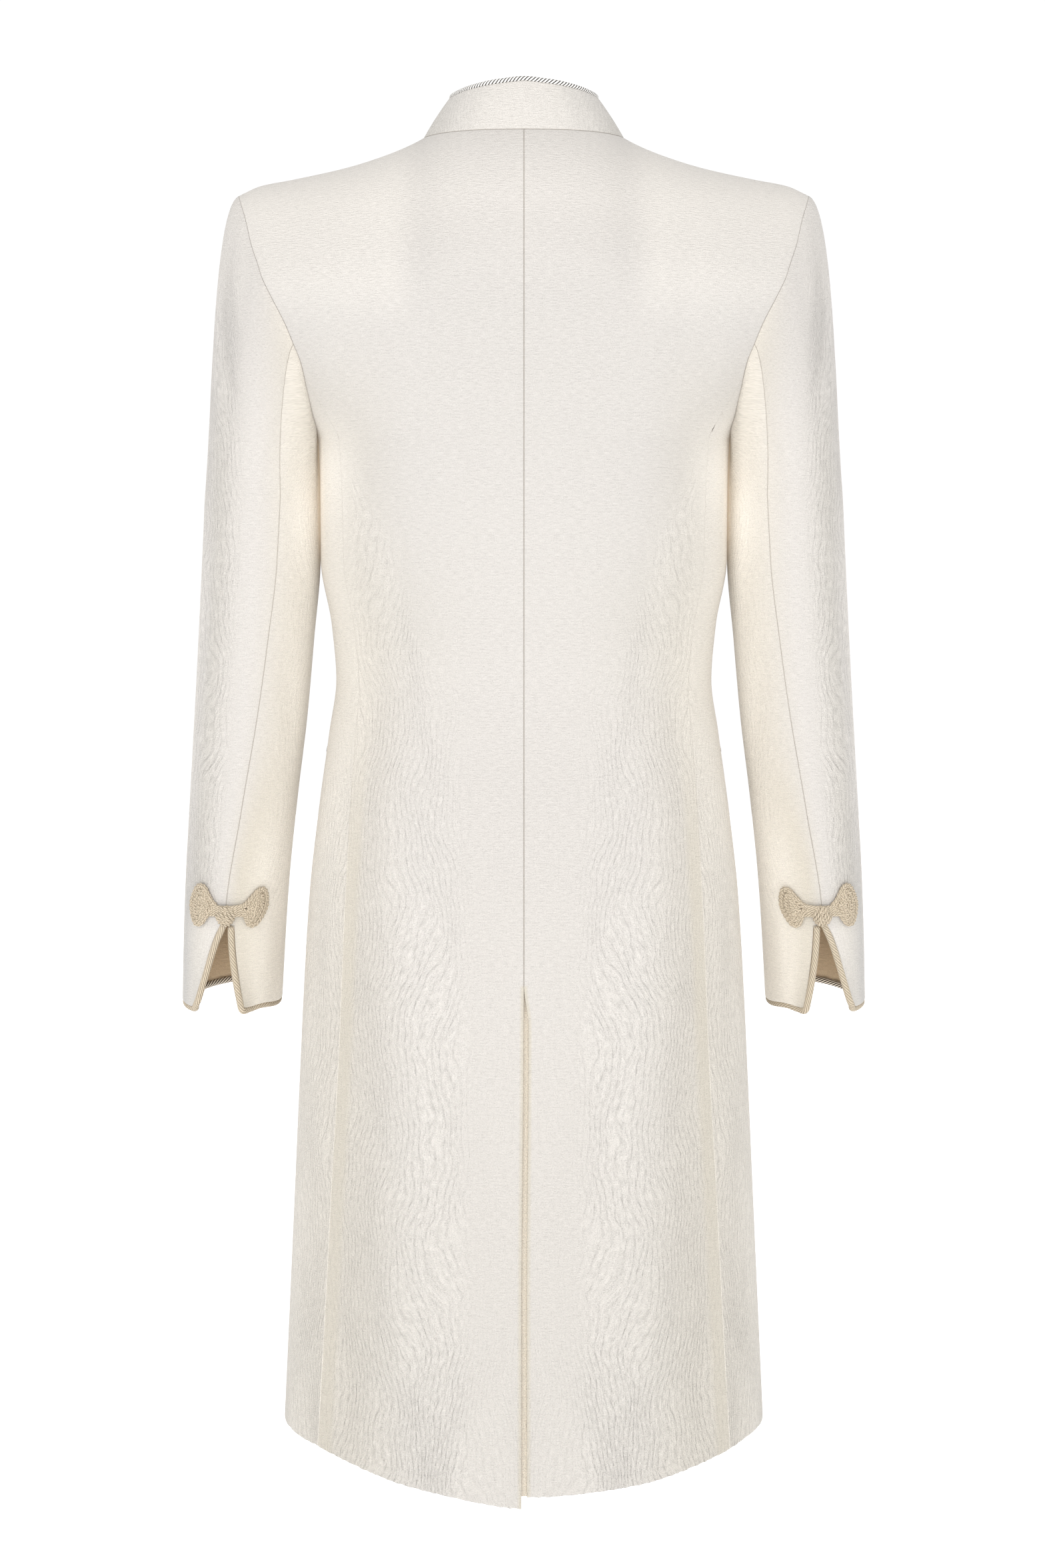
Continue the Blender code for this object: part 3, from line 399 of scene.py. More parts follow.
def armhole_point(q):
    """A point of the armhole: q runs 0 to 9 down the back, to 17 under the arm, to 26 up the front."""
    under_end = YOKE_CELLS + SIDE_CELLS
    if q <= YOKE_CELLS or q >= under_end:
        side = 1 if q <= YOKE_CELLS else -1
        part = q / YOKE_CELLS if side > 0 else (under_end + YOKE_CELLS - q) / YOKE_CELLS
        fall = 1 - math.cos(0.5 * math.pi * part)
        z = SHOULDER_TIP_Z + (JOIN_Z[side] - SHOULDER_TIP_Z) * fall
        x = float(body_x(armhole_angle[side](z), z))
        if part > 0.999:
            x = float(body_x(seam_angle[side](JOIN_Z[side]), JOIN_Z[side]))
        return np.array([x, float(body_y(x, z, side)), z])
    share = 1 - 2 * (q - YOKE_CELLS) / SIDE_CELLS
    side = 1 if share >= 0 else -1
    angle = abs(share) * float(seam_angle[side](JOIN_Z[side]))
    z = float(lower_armhole[side](angle))
    x = float(body_x(angle, z))
    return np.array([x, float(body_y(x, z, side)), z])


def sleeve_ring(angle, level):
    outer, inner = sleeve_outer(level), sleeve_inner(level)
    turn = np.radians(angle)
    x = (outer + inner) / 2 + (outer - inner) / 2 * np.cos(turn)
    y = sleeve_centre_y(level) + sleeve_half_depth(level) * np.sin(turn)
    return np.stack(np.broadcast_arrays(x, y, level), axis=-1)


def slit_angles(level):
    down = (CUFF_APEX_Z - level) / (CUFF_APEX_Z - CUFF_HEM_Z)
    below = down > -1e-6
    down = np.maximum(down, 0.0)
    outer = SLIT_OUTER_APEX + (SLIT_OUTER_HEM - SLIT_OUTER_APEX) * down ** SLIT_OUTER_POWER
    inner = SLIT_INNER_APEX + (SLIT_INNER_HEM - SLIT_INNER_APEX) * down ** SLIT_INNER_POWER
    return np.where(below, outer, 0.0), np.where(below, inner, 0.0)


def sleeve_grid(group, start, end, count, middle, seam_angles):
    """Fine columns of one stretch of the sleeve between two of its seams."""
    cap = np.linspace(0, 1, spread(0.22) + 1)[:-1]
    above = np.linspace(SLEEVE_TOP_Z, CUFF_APEX_Z, spread(SLEEVE_TOP_Z - CUFF_APEX_Z) + 1)[:-1]
    below = np.linspace(CUFF_APEX_Z, CUFF_HEM_Z, spread(CUFF_APEX_Z - CUFF_HEM_Z) + 1)
    levels = np.concatenate([above, below])
    targets = [0.0, float(sleeve_seam[1](SLEEVE_TOP_Z)), float(sleeve_seam[-1](SLEEVE_TOP_Z)), 360.0]
    outer, inner = slit_angles(levels)
    first = [0.0 * levels, sleeve_seam[1](levels) + inner, sleeve_seam[-1](levels)][group]
    last = [sleeve_seam[1](levels) - outer, sleeve_seam[-1](levels), 360.0 + 0 * levels][group]
    columns = []
    for q in np.linspace(start, end, count + 1):
        point = armhole_point(q)
        angle = seam_turn(point, q, middle)
        share = (angle - seam_angles[group]) / (seam_angles[group + 1] - seam_angles[group])
        goal = targets[group] + (targets[group + 1] - targets[group]) * share
        turned = angle + (goal - angle) * cap
        turned[0] = goal
        end_point = sleeve_ring(turned, np.full_like(turned, SLEEVE_TOP_Z))
        lift = (1 + np.cos(np.radians(turned))) / 2
        length = np.linalg.norm(end_point - point, axis=1)[:, None]
        zero = 0 * lift
        leave = np.stack([CAP_OUT * lift, CAP_BACK * np.sin(np.radians(turned)), zero - CAP_DOWN], axis=1)
        arrive = np.stack([CAP_ARRIVE_OUT * lift + CAP_ARRIVE_BASE, zero, zero - CAP_ARRIVE_DOWN], axis=1)
        u = cap[:, None]
        cap_points = (point * (1 + 2 * u) * (1 - u) ** 2 + leave * u * (1 - u) ** 2
                      + end_point * u * u * (3 - 2 * u) + arrive * length * u * u * (u - 1))
        columns.append(np.concatenate([cap_points, sleeve_ring(first + (last - first) * share, levels)]))
    return np.array(columns)


def seam_turn(point, q, middle):
    turn = math.degrees(math.atan2(point[1] - middle[1], point[2] - middle[2])) % 360
    return turn + 360.0 if q > YOKE_CELLS + SIDE_CELLS / 2 and turn < 90.0 else turn


def sleeve_pieces():
    """Outer grids of the left sleeve's top and under pieces."""
    last = YOKE_CELLS * 2 + SIDE_CELLS
    loop = np.array([armhole_point(q) for q in range(last + 1)])
    middle = (loop.max(axis=0) + loop.min(axis=0)) / 2
    turns = [seam_turn(loop[q], q, middle) for q in range(last + 1)]
    back = min(range(YOKE_CELLS + 4), key=lambda q: abs(loop[q][2] - CAP_SEAM_Z))
    front = min(range(YOKE_CELLS + 4, last + 1), key=lambda q: abs(turns[q] - UNDERARM_SEAM_ANGLE))
    seam_turns = [turns[0], turns[back], turns[front], turns[last]]
    outer_part = sleeve_grid(0, 0, back, spread(0.105), middle, seam_turns)
    under = sleeve_grid(1, back, front, spread(0.115), middle, seam_turns)
    front_part = sleeve_grid(2, front, last, spread(0.125), middle, seam_turns)
    top = np.concatenate([front_part, outer_part[1:]])
    return top, under


def shape_cuff(top, under):
    """Curl the slit's edges out a little, tilt the hem and round its corners."""
    centre_x = (sleeve_outer(CUFF_HEM_Z) + sleeve_inner(CUFF_HEM_Z)) / 2
    half_x = (sleeve_outer(CUFF_HEM_Z) - sleeve_inner(CUFF_HEM_Z)) / 2
    for grid, edge, rise in ((top, -1, OUTER_CORNER_RISE), (under, 0, INNER_CORNER_RISE)):
        down = np.clip((CUFF_APEX_Z - grid[:, :, 2]) / (CUFF_APEX_Z - CUFF_HEM_Z), 0.0, 1.0)
        aside = np.linalg.norm(grid - grid[edge][None], axis=2)
        near = np.clip(1 - aside / SLIT_CURL_REACH, 0.0, 1.0) ** 1.5
        grid[:, :, 1] += SLIT_CURL * down ** 2 * near
        grid[:, :, 2] -= CUFF_TILT * down * (grid[:, :, 1] - sleeve_centre_y(CUFF_HEM_Z))
        grid[:, :, 2] -= CUFF_SIDE_DROP * down * np.abs(grid[:, :, 0] - centre_x) / half_x
        aslant = np.clip((centre_x - grid[:, :, 0]) / half_x - 0.38, 0.0, 0.62) / 0.62
        behind = soft_step((grid[:, :, 1] - sleeve_centre_y(CUFF_HEM_Z) + 0.004) / 0.012)
        grid[:, :, 2] += INNER_FLAP_RISE * down ** 2 * np.sin(math.pi * aslant) * behind * (edge == 0)
        at_corner = np.clip(1 - aside / CORNER_REACH, 0.0, 1.0) ** 1.6 * down ** 3
        grid[:, :, 2] += at_corner * rise


def collar_grid():
    """Fine columns of the collar, all round from one front edge to the other."""
    last = 2 * NECK_CELLS - NECK_CELLS * math.asin(COLLAR_FRONT_GAP / NECK_HALF_WIDTH) / (0.5 * math.pi)
    q = np.linspace(0, last, spread(0.215) + 1)
    index = np.where(q <= NECK_CELLS, q, 2 * NECK_CELLS - q)
    x = NECK_HALF_WIDTH * np.sin(0.5 * math.pi * index / NECK_CELLS)
    z = np.where(q <= NECK_CELLS, 0.0, neckline_z(x, -1))
    y = np.where(q <= NECK_CELLS, body_y(x, z, 1), body_y(x, z, -1))
    base = np.stack([x, y, z], axis=1)
    angle = 180.0 * q / last
    flat = base * np.array([1.0, 1.0, 0.0])
    inward = -flat / np.linalg.norm(flat, axis=1)[:, None]
    part = np.linspace(0, 1, spread(0.040, 0.0015) + 1)[None]
    lean = collar_inward(angle)[:, None] * part * (1 - COLLAR_CURVE * (1 - part))
    clear = (GAP / 2 + COLLAR_FRONT_CLEARANCE * (angle / 180) ** 4)[:, None]
    rise = clear + (collar_height(angle)[:, None] - clear) * part
    half = base[:, None] + inward[:, None] * lean[:, :, None]
    half[:, :, 2] += rise
    half[-1, :, 0] = COLLAR_FRONT_GAP
    return np.concatenate([mirrored(half[:0:-1]), half])


def mirrored(grid):
    return grid * np.array([-1.0, 1.0, 1.0])


# Noise over the cloth, from a table of random values


def value_noise(u, v, seed):
    """Smooth noise between -1 and 1 over two coordinates."""
    table = np.random.default_rng(seed).random((256, 256))
    iu, iv = np.floor(u).astype(int), np.floor(v).astype(int)
    fu, fv = u - iu, v - iv
    fu, fv = fu * fu * (3 - 2 * fu), fv * fv * (3 - 2 * fv)
    a, b = table[iu % 256, iv % 256], table[(iu + 1) % 256, iv % 256]
    c, d = table[iu % 256, (iv + 1) % 256], table[(iu + 1) % 256, (iv + 1) % 256]
    return 2 * ((a * (1 - fu) + b * fu) * (1 - fv) + (c * (1 - fu) + d * fu) * fv) - 1


def pucker(u, v, seed):
    """Slow puckers between the ridges of the grain, longer along the cloth than across it."""
    return 0.6 * value_noise(u / 0.010, v / 0.026, seed) + 0.4 * value_noise(u / 0.006, v / 0.010, seed + 4)


# Meshes


def grid_normals(grid, centre):
    across = np.gradient(grid, axis=0)
    down = np.gradient(grid, axis=1)
    normals = np.cross(across, down)
    normals /= np.linalg.norm(normals, axis=2)[:, :, None] + 1e-12
    away = grid - centre
    flip = np.sign(np.sum(normals * away))
    return normals * flip


def with_edge_stations(grid, axis):
    """Add columns or rows close to both edges, so that an edge can turn in within a millimetre."""
    moved = np.moveaxis(grid, axis, 0)

    def near(first, second):
        step = second - first
        length = np.linalg.norm(step, axis=1)[:, None] + 1e-9
        return [first + step / length * np.minimum(station, 0.45 * length * (k + 1))
                for k, station in enumerate(EDGE_STATIONS)]

    start = near(moved[0], moved[1])
    end = near(moved[-1], moved[-2])[::-1]
    made = np.concatenate([moved[:1], start, moved[1:-1], end, moved[-1:]])
    return np.moveaxis(made, 0, axis)


def pull_in(grid, columns, rows):
    for edge in columns:
        step = grid[1 if edge == 0 else -2] - grid[edge]
        grid[edge] += step / (np.linalg.norm(step, axis=1)[:, None] + 1e-9) * GAP / 2
    for edge in rows:
        step = grid[:, 1 if edge == 0 else -2] - grid[:, edge]
        grid[:, edge] += step / (np.linalg.norm(step, axis=1)[:, None] + 1e-9) * GAP / 2


def cloth_places(grid):
    """Distances across and down the cloth, in metres, from its first column and row."""
    across = np.linalg.norm(np.diff(grid, axis=0), axis=2)
    down = np.linalg.norm(np.diff(grid, axis=1), axis=2)
    u = np.concatenate([np.zeros((1, grid.shape[1])), np.cumsum(across, axis=0)])
    v = np.concatenate([np.zeros((grid.shape[0], 1)), np.cumsum(down, axis=1)], axis=1)
    return u, v


def mesh_from(name, vertices, quads, rims, uv=None, values=None, corner_uv=None):
    """A mesh of quads and rims, with UVs at its vertices or at the quads' corners, and named values."""
    mesh = bpy.data.meshes.new(name)
    loops = [quads.ravel()] + [np.array(rim) for rim in rims]
    totals = np.concatenate([np.full(len(quads), 4), np.array([len(rim) for rim in rims], int)]).astype(int)
    corners = np.concatenate(loops).astype(np.int32)
    mesh.vertices.add(len(vertices))
    mesh.vertices.foreach_set("co", np.ascontiguousarray(vertices, np.float32).ravel())
    mesh.loops.add(len(corners))
    mesh.loops.foreach_set("vertex_index", corners)
    mesh.polygons.add(len(totals))
    mesh.polygons.foreach_set("loop_start", np.concatenate([[0], np.cumsum(totals)[:-1]]).astype(np.int32))
    mesh.polygons.foreach_set("use_smooth", np.ones(len(totals), bool))
    mesh.update(calc_edges=True)
    layer = mesh.uv_layers.new(name="cloth")
    if corner_uv is None:
        places = uv[corners]
    else:
        places = np.zeros((len(corners), 2))
        places[:quads.size] = corner_uv
    layer.uv.foreach_set("vector", np.ascontiguousarray(places, np.float32).ravel())
    for key, value in (values or {}).items():
        data = mesh.attributes.new(key, "FLOAT", "POINT").data
        data.foreach_set("value", np.ascontiguousarray(value, np.float32).ravel())
    thing = bpy.data.objects.new(name, mesh)
    bpy.context.scene.collection.objects.link(thing)
    return thing


def grid_faces(columns, rows, first=0):
    i, j = np.meshgrid(np.arange(columns - 1), np.arange(rows - 1), indexing="ij")
    a = first + i * rows + j
    return np.stack([a, a + rows, a + rows + 1, a + 1], axis=-1).reshape(-1, 4)


def inner_stations(count):
    """Every few stations of the outer face, with those at its two edges."""
    edge = len(EDGE_STATIONS) + 1
    picked = [0] + list(range(edge, count - edge, INNER_EVERY)) + [count - 1]
    return np.array(picked)


def cloth_shell(name, outer, normals, uv, values, flip):
    """A closed wall of cloth: a fine outer face, a coarser inner one and rims between them."""
    columns, rows = outer.shape[:2]
    ic, ir = inner_stations(columns), inner_stations(rows)
    inner = (outer - normals * CLOTH)[np.ix_(ic, ir)]
    first = columns * rows
    vertices = np.concatenate([outer.reshape(-1, 3), inner.reshape(-1, 3)])
    quads_out = grid_faces(columns, rows)
    quads_in = grid_faces(len(ic), len(ir), first)[:, ::-1]
    quads = np.concatenate([quads_out, quads_in])
    rims = []

    def out_index(i, j):
        return i * rows + j

    def in_index(a, b):
        return first + a * len(ir) + b

    for b in range(len(ir) - 1):
        for i, a, turn in ((0, 0, 1), (columns - 1, len(ic) - 1, -1)):
            outside = [out_index(i, j) for j in range(ir[b], ir[b + 1] + 1)]
            rims.append((outside + [in_index(a, b + 1), in_index(a, b)])[::turn])
    for a in range(len(ic) - 1):
        for j, b, turn in ((0, 0, -1), (rows - 1, len(ir) - 1, 1)):
            outside = [out_index(i, j) for i in range(ic[a], ic[a + 1] + 1)]
            rims.append((outside + [in_index(a + 1, b), in_index(a, b)])[::turn])
    if flip:
        quads = quads[:, ::-1]
        rims = [rim[::-1] for rim in rims]
    picked = (ic[:, None] * rows + ir[None]).ravel()
    uv_all = np.concatenate([uv.reshape(-1, 2), uv.reshape(-1, 2)[picked]])
    all_values = {}
    for key, value in values.items():
        flat = value.ravel()
        all_values[key] = np.concatenate([flat, flat[picked]])
    # The inner face is marked 1 here: it takes a painted warm shade.
    all_values["inside"] = np.concatenate([np.zeros(first), np.ones(len(picked))])
    return mesh_from(name, vertices, quads, rims, uv_all, all_values)


# Materials


def new_material(name):
    material = bpy.data.materials.new(name)
    material.use_nodes = True
    return material, material.node_tree, material.node_tree.nodes["Principled BSDF"]


class Nodes:
    """Short calls for the nodes of one material."""

    def __init__(self, tree):
        self.tree = tree

    def add(self, kind, **settings):
        node = self.tree.nodes.new(kind)
        for key, value in settings.items():
            setattr(node, key, value)
        return node

    def put(self, socket, value):
        if isinstance(value, bpy.types.NodeSocket):
            self.tree.links.new(value, socket)
        else:
            socket.default_value = value

    def maths(self, operation, a, b=None, c=None):
        node = self.add("ShaderNodeMath", operation=operation)
        for place, value in enumerate((a, b, c)):
            if value is not None:
                self.put(node.inputs[place], value)
        return node.outputs[0]

    def value(self, name):
        return self.add("ShaderNodeAttribute", attribute_name=name).outputs["Fac"]

    def vector(self, x, y, z=0.0):
        node = self.add("ShaderNodeCombineXYZ")
        for place, value in enumerate((x, y, z)):
            self.put(node.inputs[place], value)
        return node.outputs[0]

    def noise(self, across, along, offset=0.0, detail=2.0):
        """Noise over two coordinates, each given with its own scale."""
        x, y = [self.maths("MULTIPLY", value, scale) for value, scale in (across, along)]
        node = self.add("ShaderNodeTexNoise")
        self.put(node.inputs["Vector"], self.vector(x, y, offset))
        node.inputs["Scale"].default_value = 1.0
        node.inputs["Detail"].default_value = detail
        node.inputs["Roughness"].default_value = 0.5
        return node.outputs["Fac"]

    def mix(self, share, a, b):
        node = self.add("ShaderNodeMix", data_type="RGBA")
        self.put(node.inputs[0], share)
        self.put(node.inputs[6], a)
        self.put(node.inputs[7], b)
        return node.outputs[2]

    def ramp(self, value, low, high):
        node = self.add("ShaderNodeMapRange", interpolation_type="SMOOTHSTEP")
        self.put(node.inputs[0], value)
        node.inputs[1].default_value = low
        node.inputs[2].default_value = high
        return node.outputs[0]


IVORY = (0.562, 0.537, 0.512, 1.0)
# Tints laid over the ivory in this order, each as strong as its value on the mesh says: painted warm shade,
# painted shade, painted grey shade, painted light, painted warm shade on the inner face, and the vent
# recess's painted tone
TINTS = {
    "warm_shade": (0.535, 0.495, 0.425, 1.0),
    "dark_shade": (0.440, 0.418, 0.372, 1.0),
    "grey_shade": (0.460, 0.448, 0.430, 1.0),
    "painted_light": (0.900, 0.857, 0.790, 1.0),
    # painted warm shade on the cloth's inner face, seen through the openings
    "inside": (0.600, 0.465, 0.315, 1.0),
    # the vent's recess: painted warm shade, paler than the ivory as painted light that lifts the recess's own
    # shadow
    "vent": (0.680, 0.620, 0.520, 1.0),
}
SEAM_LINE = (0.300, 0.265, 0.220, 1.0)
GAP_GLOW = (0.42, 0.345, 0.260, 1.0)
GRAIN_PITCH = 0.0045


def jacquard_material():
    """Ivory cloth: fine ribs across, wavy wood grain along, and a soft sheen."""
    material, tree, shader = new_material("ivory_jacquard")
    n = Nodes(tree)
    place = n.add("ShaderNodeUVMap", uv_map="cloth").outputs[0]
    parts = n.add("ShaderNodeSeparateXYZ")
    n.put(parts.inputs[0], place)
    u, v = parts.outputs[0], parts.outputs[1]
    relief = n.value("relief")
    # Wavy grain: lines along the cloth, bent by slow noise that is long in the same direction
    slow = n.noise((u, 15.0), (v, 9.0), detail=0.0)
    fast = n.noise((u, 48.0), (v, 30.0), 3.0, 0.0)
    quick = n.noise((u, 190.0), (v, 120.0), 9.0, 0.0)
    bent = n.maths("MULTIPLY_ADD", slow, 0.052, u)
    course = n.maths("MULTIPLY_ADD", fast, 0.0065, bent)
    bent = n.maths("MULTIPLY_ADD", fast, 0.0130, bent)
    bent = n.maths("MULTIPLY_ADD", quick, 0.0022, bent)
    lines = n.maths("ABSOLUTE", n.maths("SINE", n.maths("MULTIPLY", bent, math.pi / GRAIN_PITCH)))
    lines = n.maths("SUBTRACT", n.maths("POWER", lines, 0.34), 0.82)
    broken = n.noise((u, 75.0), (v, 42.0), 7.0)
    grain = n.maths("MULTIPLY", lines, n.ramp(broken, 0.18, 0.50))
    # Fine ribs across: noise that is long across the cloth
    ribs = n.noise((u, 190.0), (v, 920.0), 5.0, 1.0)
    ribs = n.maths("MULTIPLY", n.maths("SUBTRACT", ribs, 0.5), 3.0)
    # Small even crepe, and fine threads that follow the ridges
    crepe = n.maths("SUBTRACT", n.noise((u, 1250.0), (v, 1050.0), 2.0, 1.0), 0.5)
    flow = n.maths("SUBTRACT", n.noise((course, 950.0), (v, 170.0), 11.0), 0.5)
    calm = n.maths("SUBTRACT", 1.0, relief)
    grained = n.maths("MAXIMUM", n.maths("MULTIPLY_ADD", relief, 1.12, -0.10), 0.0)
    ridge_part = n.maths("MULTIPLY", grain, n.maths("MULTIPLY", grained, 1.05))
    rib_part = n.maths("MULTIPLY", ribs, n.maths("MULTIPLY_ADD", calm, 0.30, 0.08))
    crepe_part = n.maths("MULTIPLY", crepe, n.maths("MULTIPLY_ADD", relief, 0.7, 0.65))
    flow_part = n.maths("MULTIPLY", flow, n.maths("MULTIPLY", grained, 3.0))
    height = n.maths("ADD", n.maths("ADD", ridge_part, rib_part), n.maths("ADD", crepe_part, flow_part))
    bump = n.add("ShaderNodeBump")
    bump.inputs["Strength"].default_value = 1.0
    bump.inputs["Distance"].default_value = 0.00042
    n.put(bump.inputs["Height"], height)
    n.put(shader.inputs["Normal"], bump.outputs[0])
    # Colour: ivory under painted warm, dark and grey shade and painted light by place, a painted highlight on
    # the threads' tops and painted shade between them, and dark in the seams
    tint = IVORY
    for name, colour in TINTS.items():
        tint = n.mix(n.value(name), tint, colour)
    # Painted shade and highlight of the relief: the tint is scaled up where ridges, ribs, crepe and flow
    # stand high and down where they sink
    painted_relief_shading = 1.0
    frayed_part = n.maths("MULTIPLY", crepe, n.value("vent"))
    for part, share in ((grained, 0.065), (ridge_part, 0.18), (rib_part, 0.24), (crepe_part, 0.50),
                        (flow_part, 0.20), (frayed_part, 0.50)):
        painted_relief_shading = n.maths("MULTIPLY_ADD", part, share, painted_relief_shading)
    shaded = n.add("ShaderNodeVectorMath", operation="SCALE")
    n.put(shaded.inputs[0], tint)
    n.put(shaded.inputs["Scale"], painted_relief_shading)
    colour = n.mix(n.value("seam"), shaded.outputs[0], SEAM_LINE)
    n.put(shader.inputs["Base Color"], colour)
    # Painted glow: the cloth itself emits light inside the narrow gap between sleeve and body, standing in
    # for light that the pale cloth passes on there
    n.put(shader.inputs["Emission Strength"], n.value("glow"))
    shader.inputs["Emission Color"].default_value = GAP_GLOW
    shader.inputs["Roughness"].default_value = 0.75
    shader.inputs["Sheen Weight"].default_value = 0.10
    shader.inputs["Sheen Roughness"].default_value = 0.45
    shader.inputs["Specular IOR Level"].default_value = 0.25
    return material


def rope_material(name, light, dark, deep_shade, pale, fibre):
    """Twisted cord: rounded strands, painted shade in the grooves between them and fine fibres along them;
    where the mesh asks for it, deeper painted shade in wider grooves and painted highlights on the strands.
    """
    material, tree, shader = new_material(name)
    n = Nodes(tree)
    parts = n.add("ShaderNodeSeparateXYZ")
    n.put(parts.inputs[0], n.add("ShaderNodeUVMap", uv_map="cloth").outputs[0])
    along, strand = parts.outputs[0], parts.outputs[1]
    swell = n.maths("ABSOLUTE", n.maths("SINE", n.maths("MULTIPLY", strand, math.pi)))
    fibres = n.maths("SINE", n.maths("MULTIPLY", strand, 2 * math.pi * fibre))
    fuzz = n.noise((along, 420.0), (strand, 9.0))
    rounded = n.maths("POWER", swell, 0.6)
    height = n.maths("MULTIPLY_ADD", fibres, 0.10, n.maths("MULTIPLY_ADD", fuzz, 0.25, rounded))
    bump = n.add("ShaderNodeBump")
    bump.inputs["Strength"].default_value = 1.0
    bump.inputs["Distance"].default_value = 0.00055
    n.put(bump.inputs["Height"], height)
    n.put(shader.inputs["Normal"], bump.outputs[0])
    # Painted shade in the grooves between the strands, deeper and wider where the mesh asks for it
    groove_shade = n.maths("SUBTRACT", 1.0, n.ramp(swell, 0.05, 0.75))
    wide_groove_shade = n.maths("MULTIPLY", n.value("deep_shade"), n.maths("SUBTRACT", 1.0, n.ramp(swell, 0.35, 0.90)))
    groove_shade = n.maths("MAXIMUM", groove_shade, wide_groove_shade)
    tint = n.mix(n.maths("MULTIPLY", n.ramp(fuzz, 0.35, 0.75), 0.30), light, dark)
    # Where the mesh asks for it, the strands' tops take a painted highlight
    tint = n.mix(n.value("deep_shade"), tint, pale)
    hollow_shade = n.mix(n.value("deep_shade"), dark, deep_shade)
    n.put(shader.inputs["Base Color"], n.mix(groove_shade, tint, hollow_shade))
    shader.inputs["Roughness"].default_value = 0.70
    shader.inputs["Sheen Weight"].default_value = 0.10
    shader.inputs["Specular IOR Level"].default_value = 0.3
    return material


JACQUARD = jacquard_material()
# Rope colours: the strands', the painted shade in their grooves, the painted deep shade in wide grooves and
# the painted highlight on the strands, then fibres per strand
ROPE = rope_material("beige_rope", (0.66, 0.565, 0.435, 1.0), (0.36, 0.30, 0.215, 1.0),
                     (0.030, 0.018, 0.010, 1.0), (1.0, 0.91, 0.79, 1.0), 4.0)
COLLAR_ROPE = rope_material("collar_rope", (0.80, 0.77, 0.72, 1.0), (0.060, 0.050, 0.040, 1.0),
                            (0.012, 0.010, 0.008, 1.0), (1.0, 0.98, 0.95, 1.0), 4.0)


# Cloth pieces

RELIEF_HEIGHT = 0.00008
FRAY = 0.0007
# Seeds of the puckers of each kind of piece
BACK_SEED, SIDE_SEED, FRONT_SEED, SLEEVE_SEED, COLLAR_SEED = 11, 23, 31, 47, 59


def body_axis(grid):
    centre = grid.copy()
    centre[..., :2] = 0
    return centre


def sleeve_axis(grid):
    level = np.minimum(grid[..., 2], -0.18)
    x = (sleeve_outer(level) + sleeve_inner(level)) / 2
    return np.stack([x, sleeve_centre_y(level), grid[..., 2]], axis=-1)


def neck_axis(grid):
    centre = grid.copy()
    centre[..., :2] = 0
    centre[..., 2] = -0.05
    return centre


def gaussian(x, centre, width):
    return np.exp(-((x - centre) / width) ** 2)


# Where the grain of the upper flanks begins: how far down the body, and how far from its centre
FLANK_GRAIN = ((0.200, 0.132), (0.254, 0.119), (0.292, 0.099), (0.330, 0.088), (0.369, 0.076),
               (0.450, 0.060))


def body_relief(grid):
    """How strong the grain is over the body: calm by the centre and the upper back, strong by the sides."""
    x, z = np.abs(grid[..., 0]), grid[..., 2]
    low = soft_step((-0.25 - z) / 0.45)
    skirt = low * (0.16 + 0.64 * soft_step((x - 0.032) / 0.026))
    inner = np.interp(-z, *np.transpose(FLANK_GRAIN))
    flank = 0.50 * soft_step((x - inner + 0.008) / 0.016) * (1 - low) * soft_step((-0.19 - z) / 0.04)
    smooth_side = soft_step((x - 0.121) / 0.008) * soft_step((-0.19 - z) / 0.04)
    smooth_side = smooth_side * soft_step((z + 0.50) / 0.10)
    hem = 0.20 * soft_step((-0.84 - z) / 0.08)
    made = np.clip(0.08 + skirt + flank + hem, 0.0, 1.0)
    return made * (1 - 0.5 * seam_band(grid)) * (1 - 0.75 * smooth_side)


def body_folds(grid):
    """Soft troughs and ridges of the worn cloth: beside the arms, on the flanks and in the skirt."""
    x, y, z = np.abs(grid[..., 0]), grid[..., 1], grid[..., 2]
    back = soft_step((y + 0.01) / 0.03)
    blade = -0.0014 * gaussian(x, 0.118 + 0.12 * (z + 0.10), 0.011) * gaussian(z, -0.105, 0.050)
    arm = 0.0008 * gaussian(x, 0.150 + 0.20 * (z + 0.14), 0.012) * gaussian(z, -0.170, 0.060)
    waist = 0.0012 * gaussian(x, 0.104 + 0.10 * (z + 0.40), 0.012) * gaussian(z, -0.360, 0.130)
    waist -= 0.0010 * gaussian(x, 0.080 + 0.12 * (z + 0.40), 0.010) * gaussian(z, -0.400, 0.110)
    fall = soft_step((-0.52 - z) / 0.42)
    flare = fall * (0.0011 * np.cos(2 * math.pi * (x - 0.012) / 0.078) - 0.0003)
    return (back * (blade + arm + waist) + (0.35 + 0.65 * back) * flare) * soft_step(x / 0.008)


def edge_values(shape, seams):
    """Strongest on the named edges of a grid, falling to 0 within the turned edge."""
    made = np.zeros(shape)
    fade = (0.85, 0.12, 0.0)
    for (axis, edge), strength in seams.items():
        for step, value in enumerate(fade):
            place = step if edge == 0 else -1 - step
            if axis == 0:
                made[place] = np.maximum(made[place], value * strength)
            else:
                made[:, place] = np.maximum(made[:, place], value * strength)
    return made


def sink_edges(grid, normals, seams):
    """Turn the edges of a piece in by a fraction of a millimetre, less at the fainter seams."""
    for axis, edge in ((0, 0), (0, 1), (1, 0), (1, 1)):
        share = max(seams.get((axis, edge), 1.0), 0.2)
        for step, depth in enumerate(EDGE_SINK):
            place = step if edge == 0 else -1 - step
            if axis == 0:
                grid[place] -= normals[place] * depth * share
            else:
                grid[:, place] -= normals[:, place] * depth * share


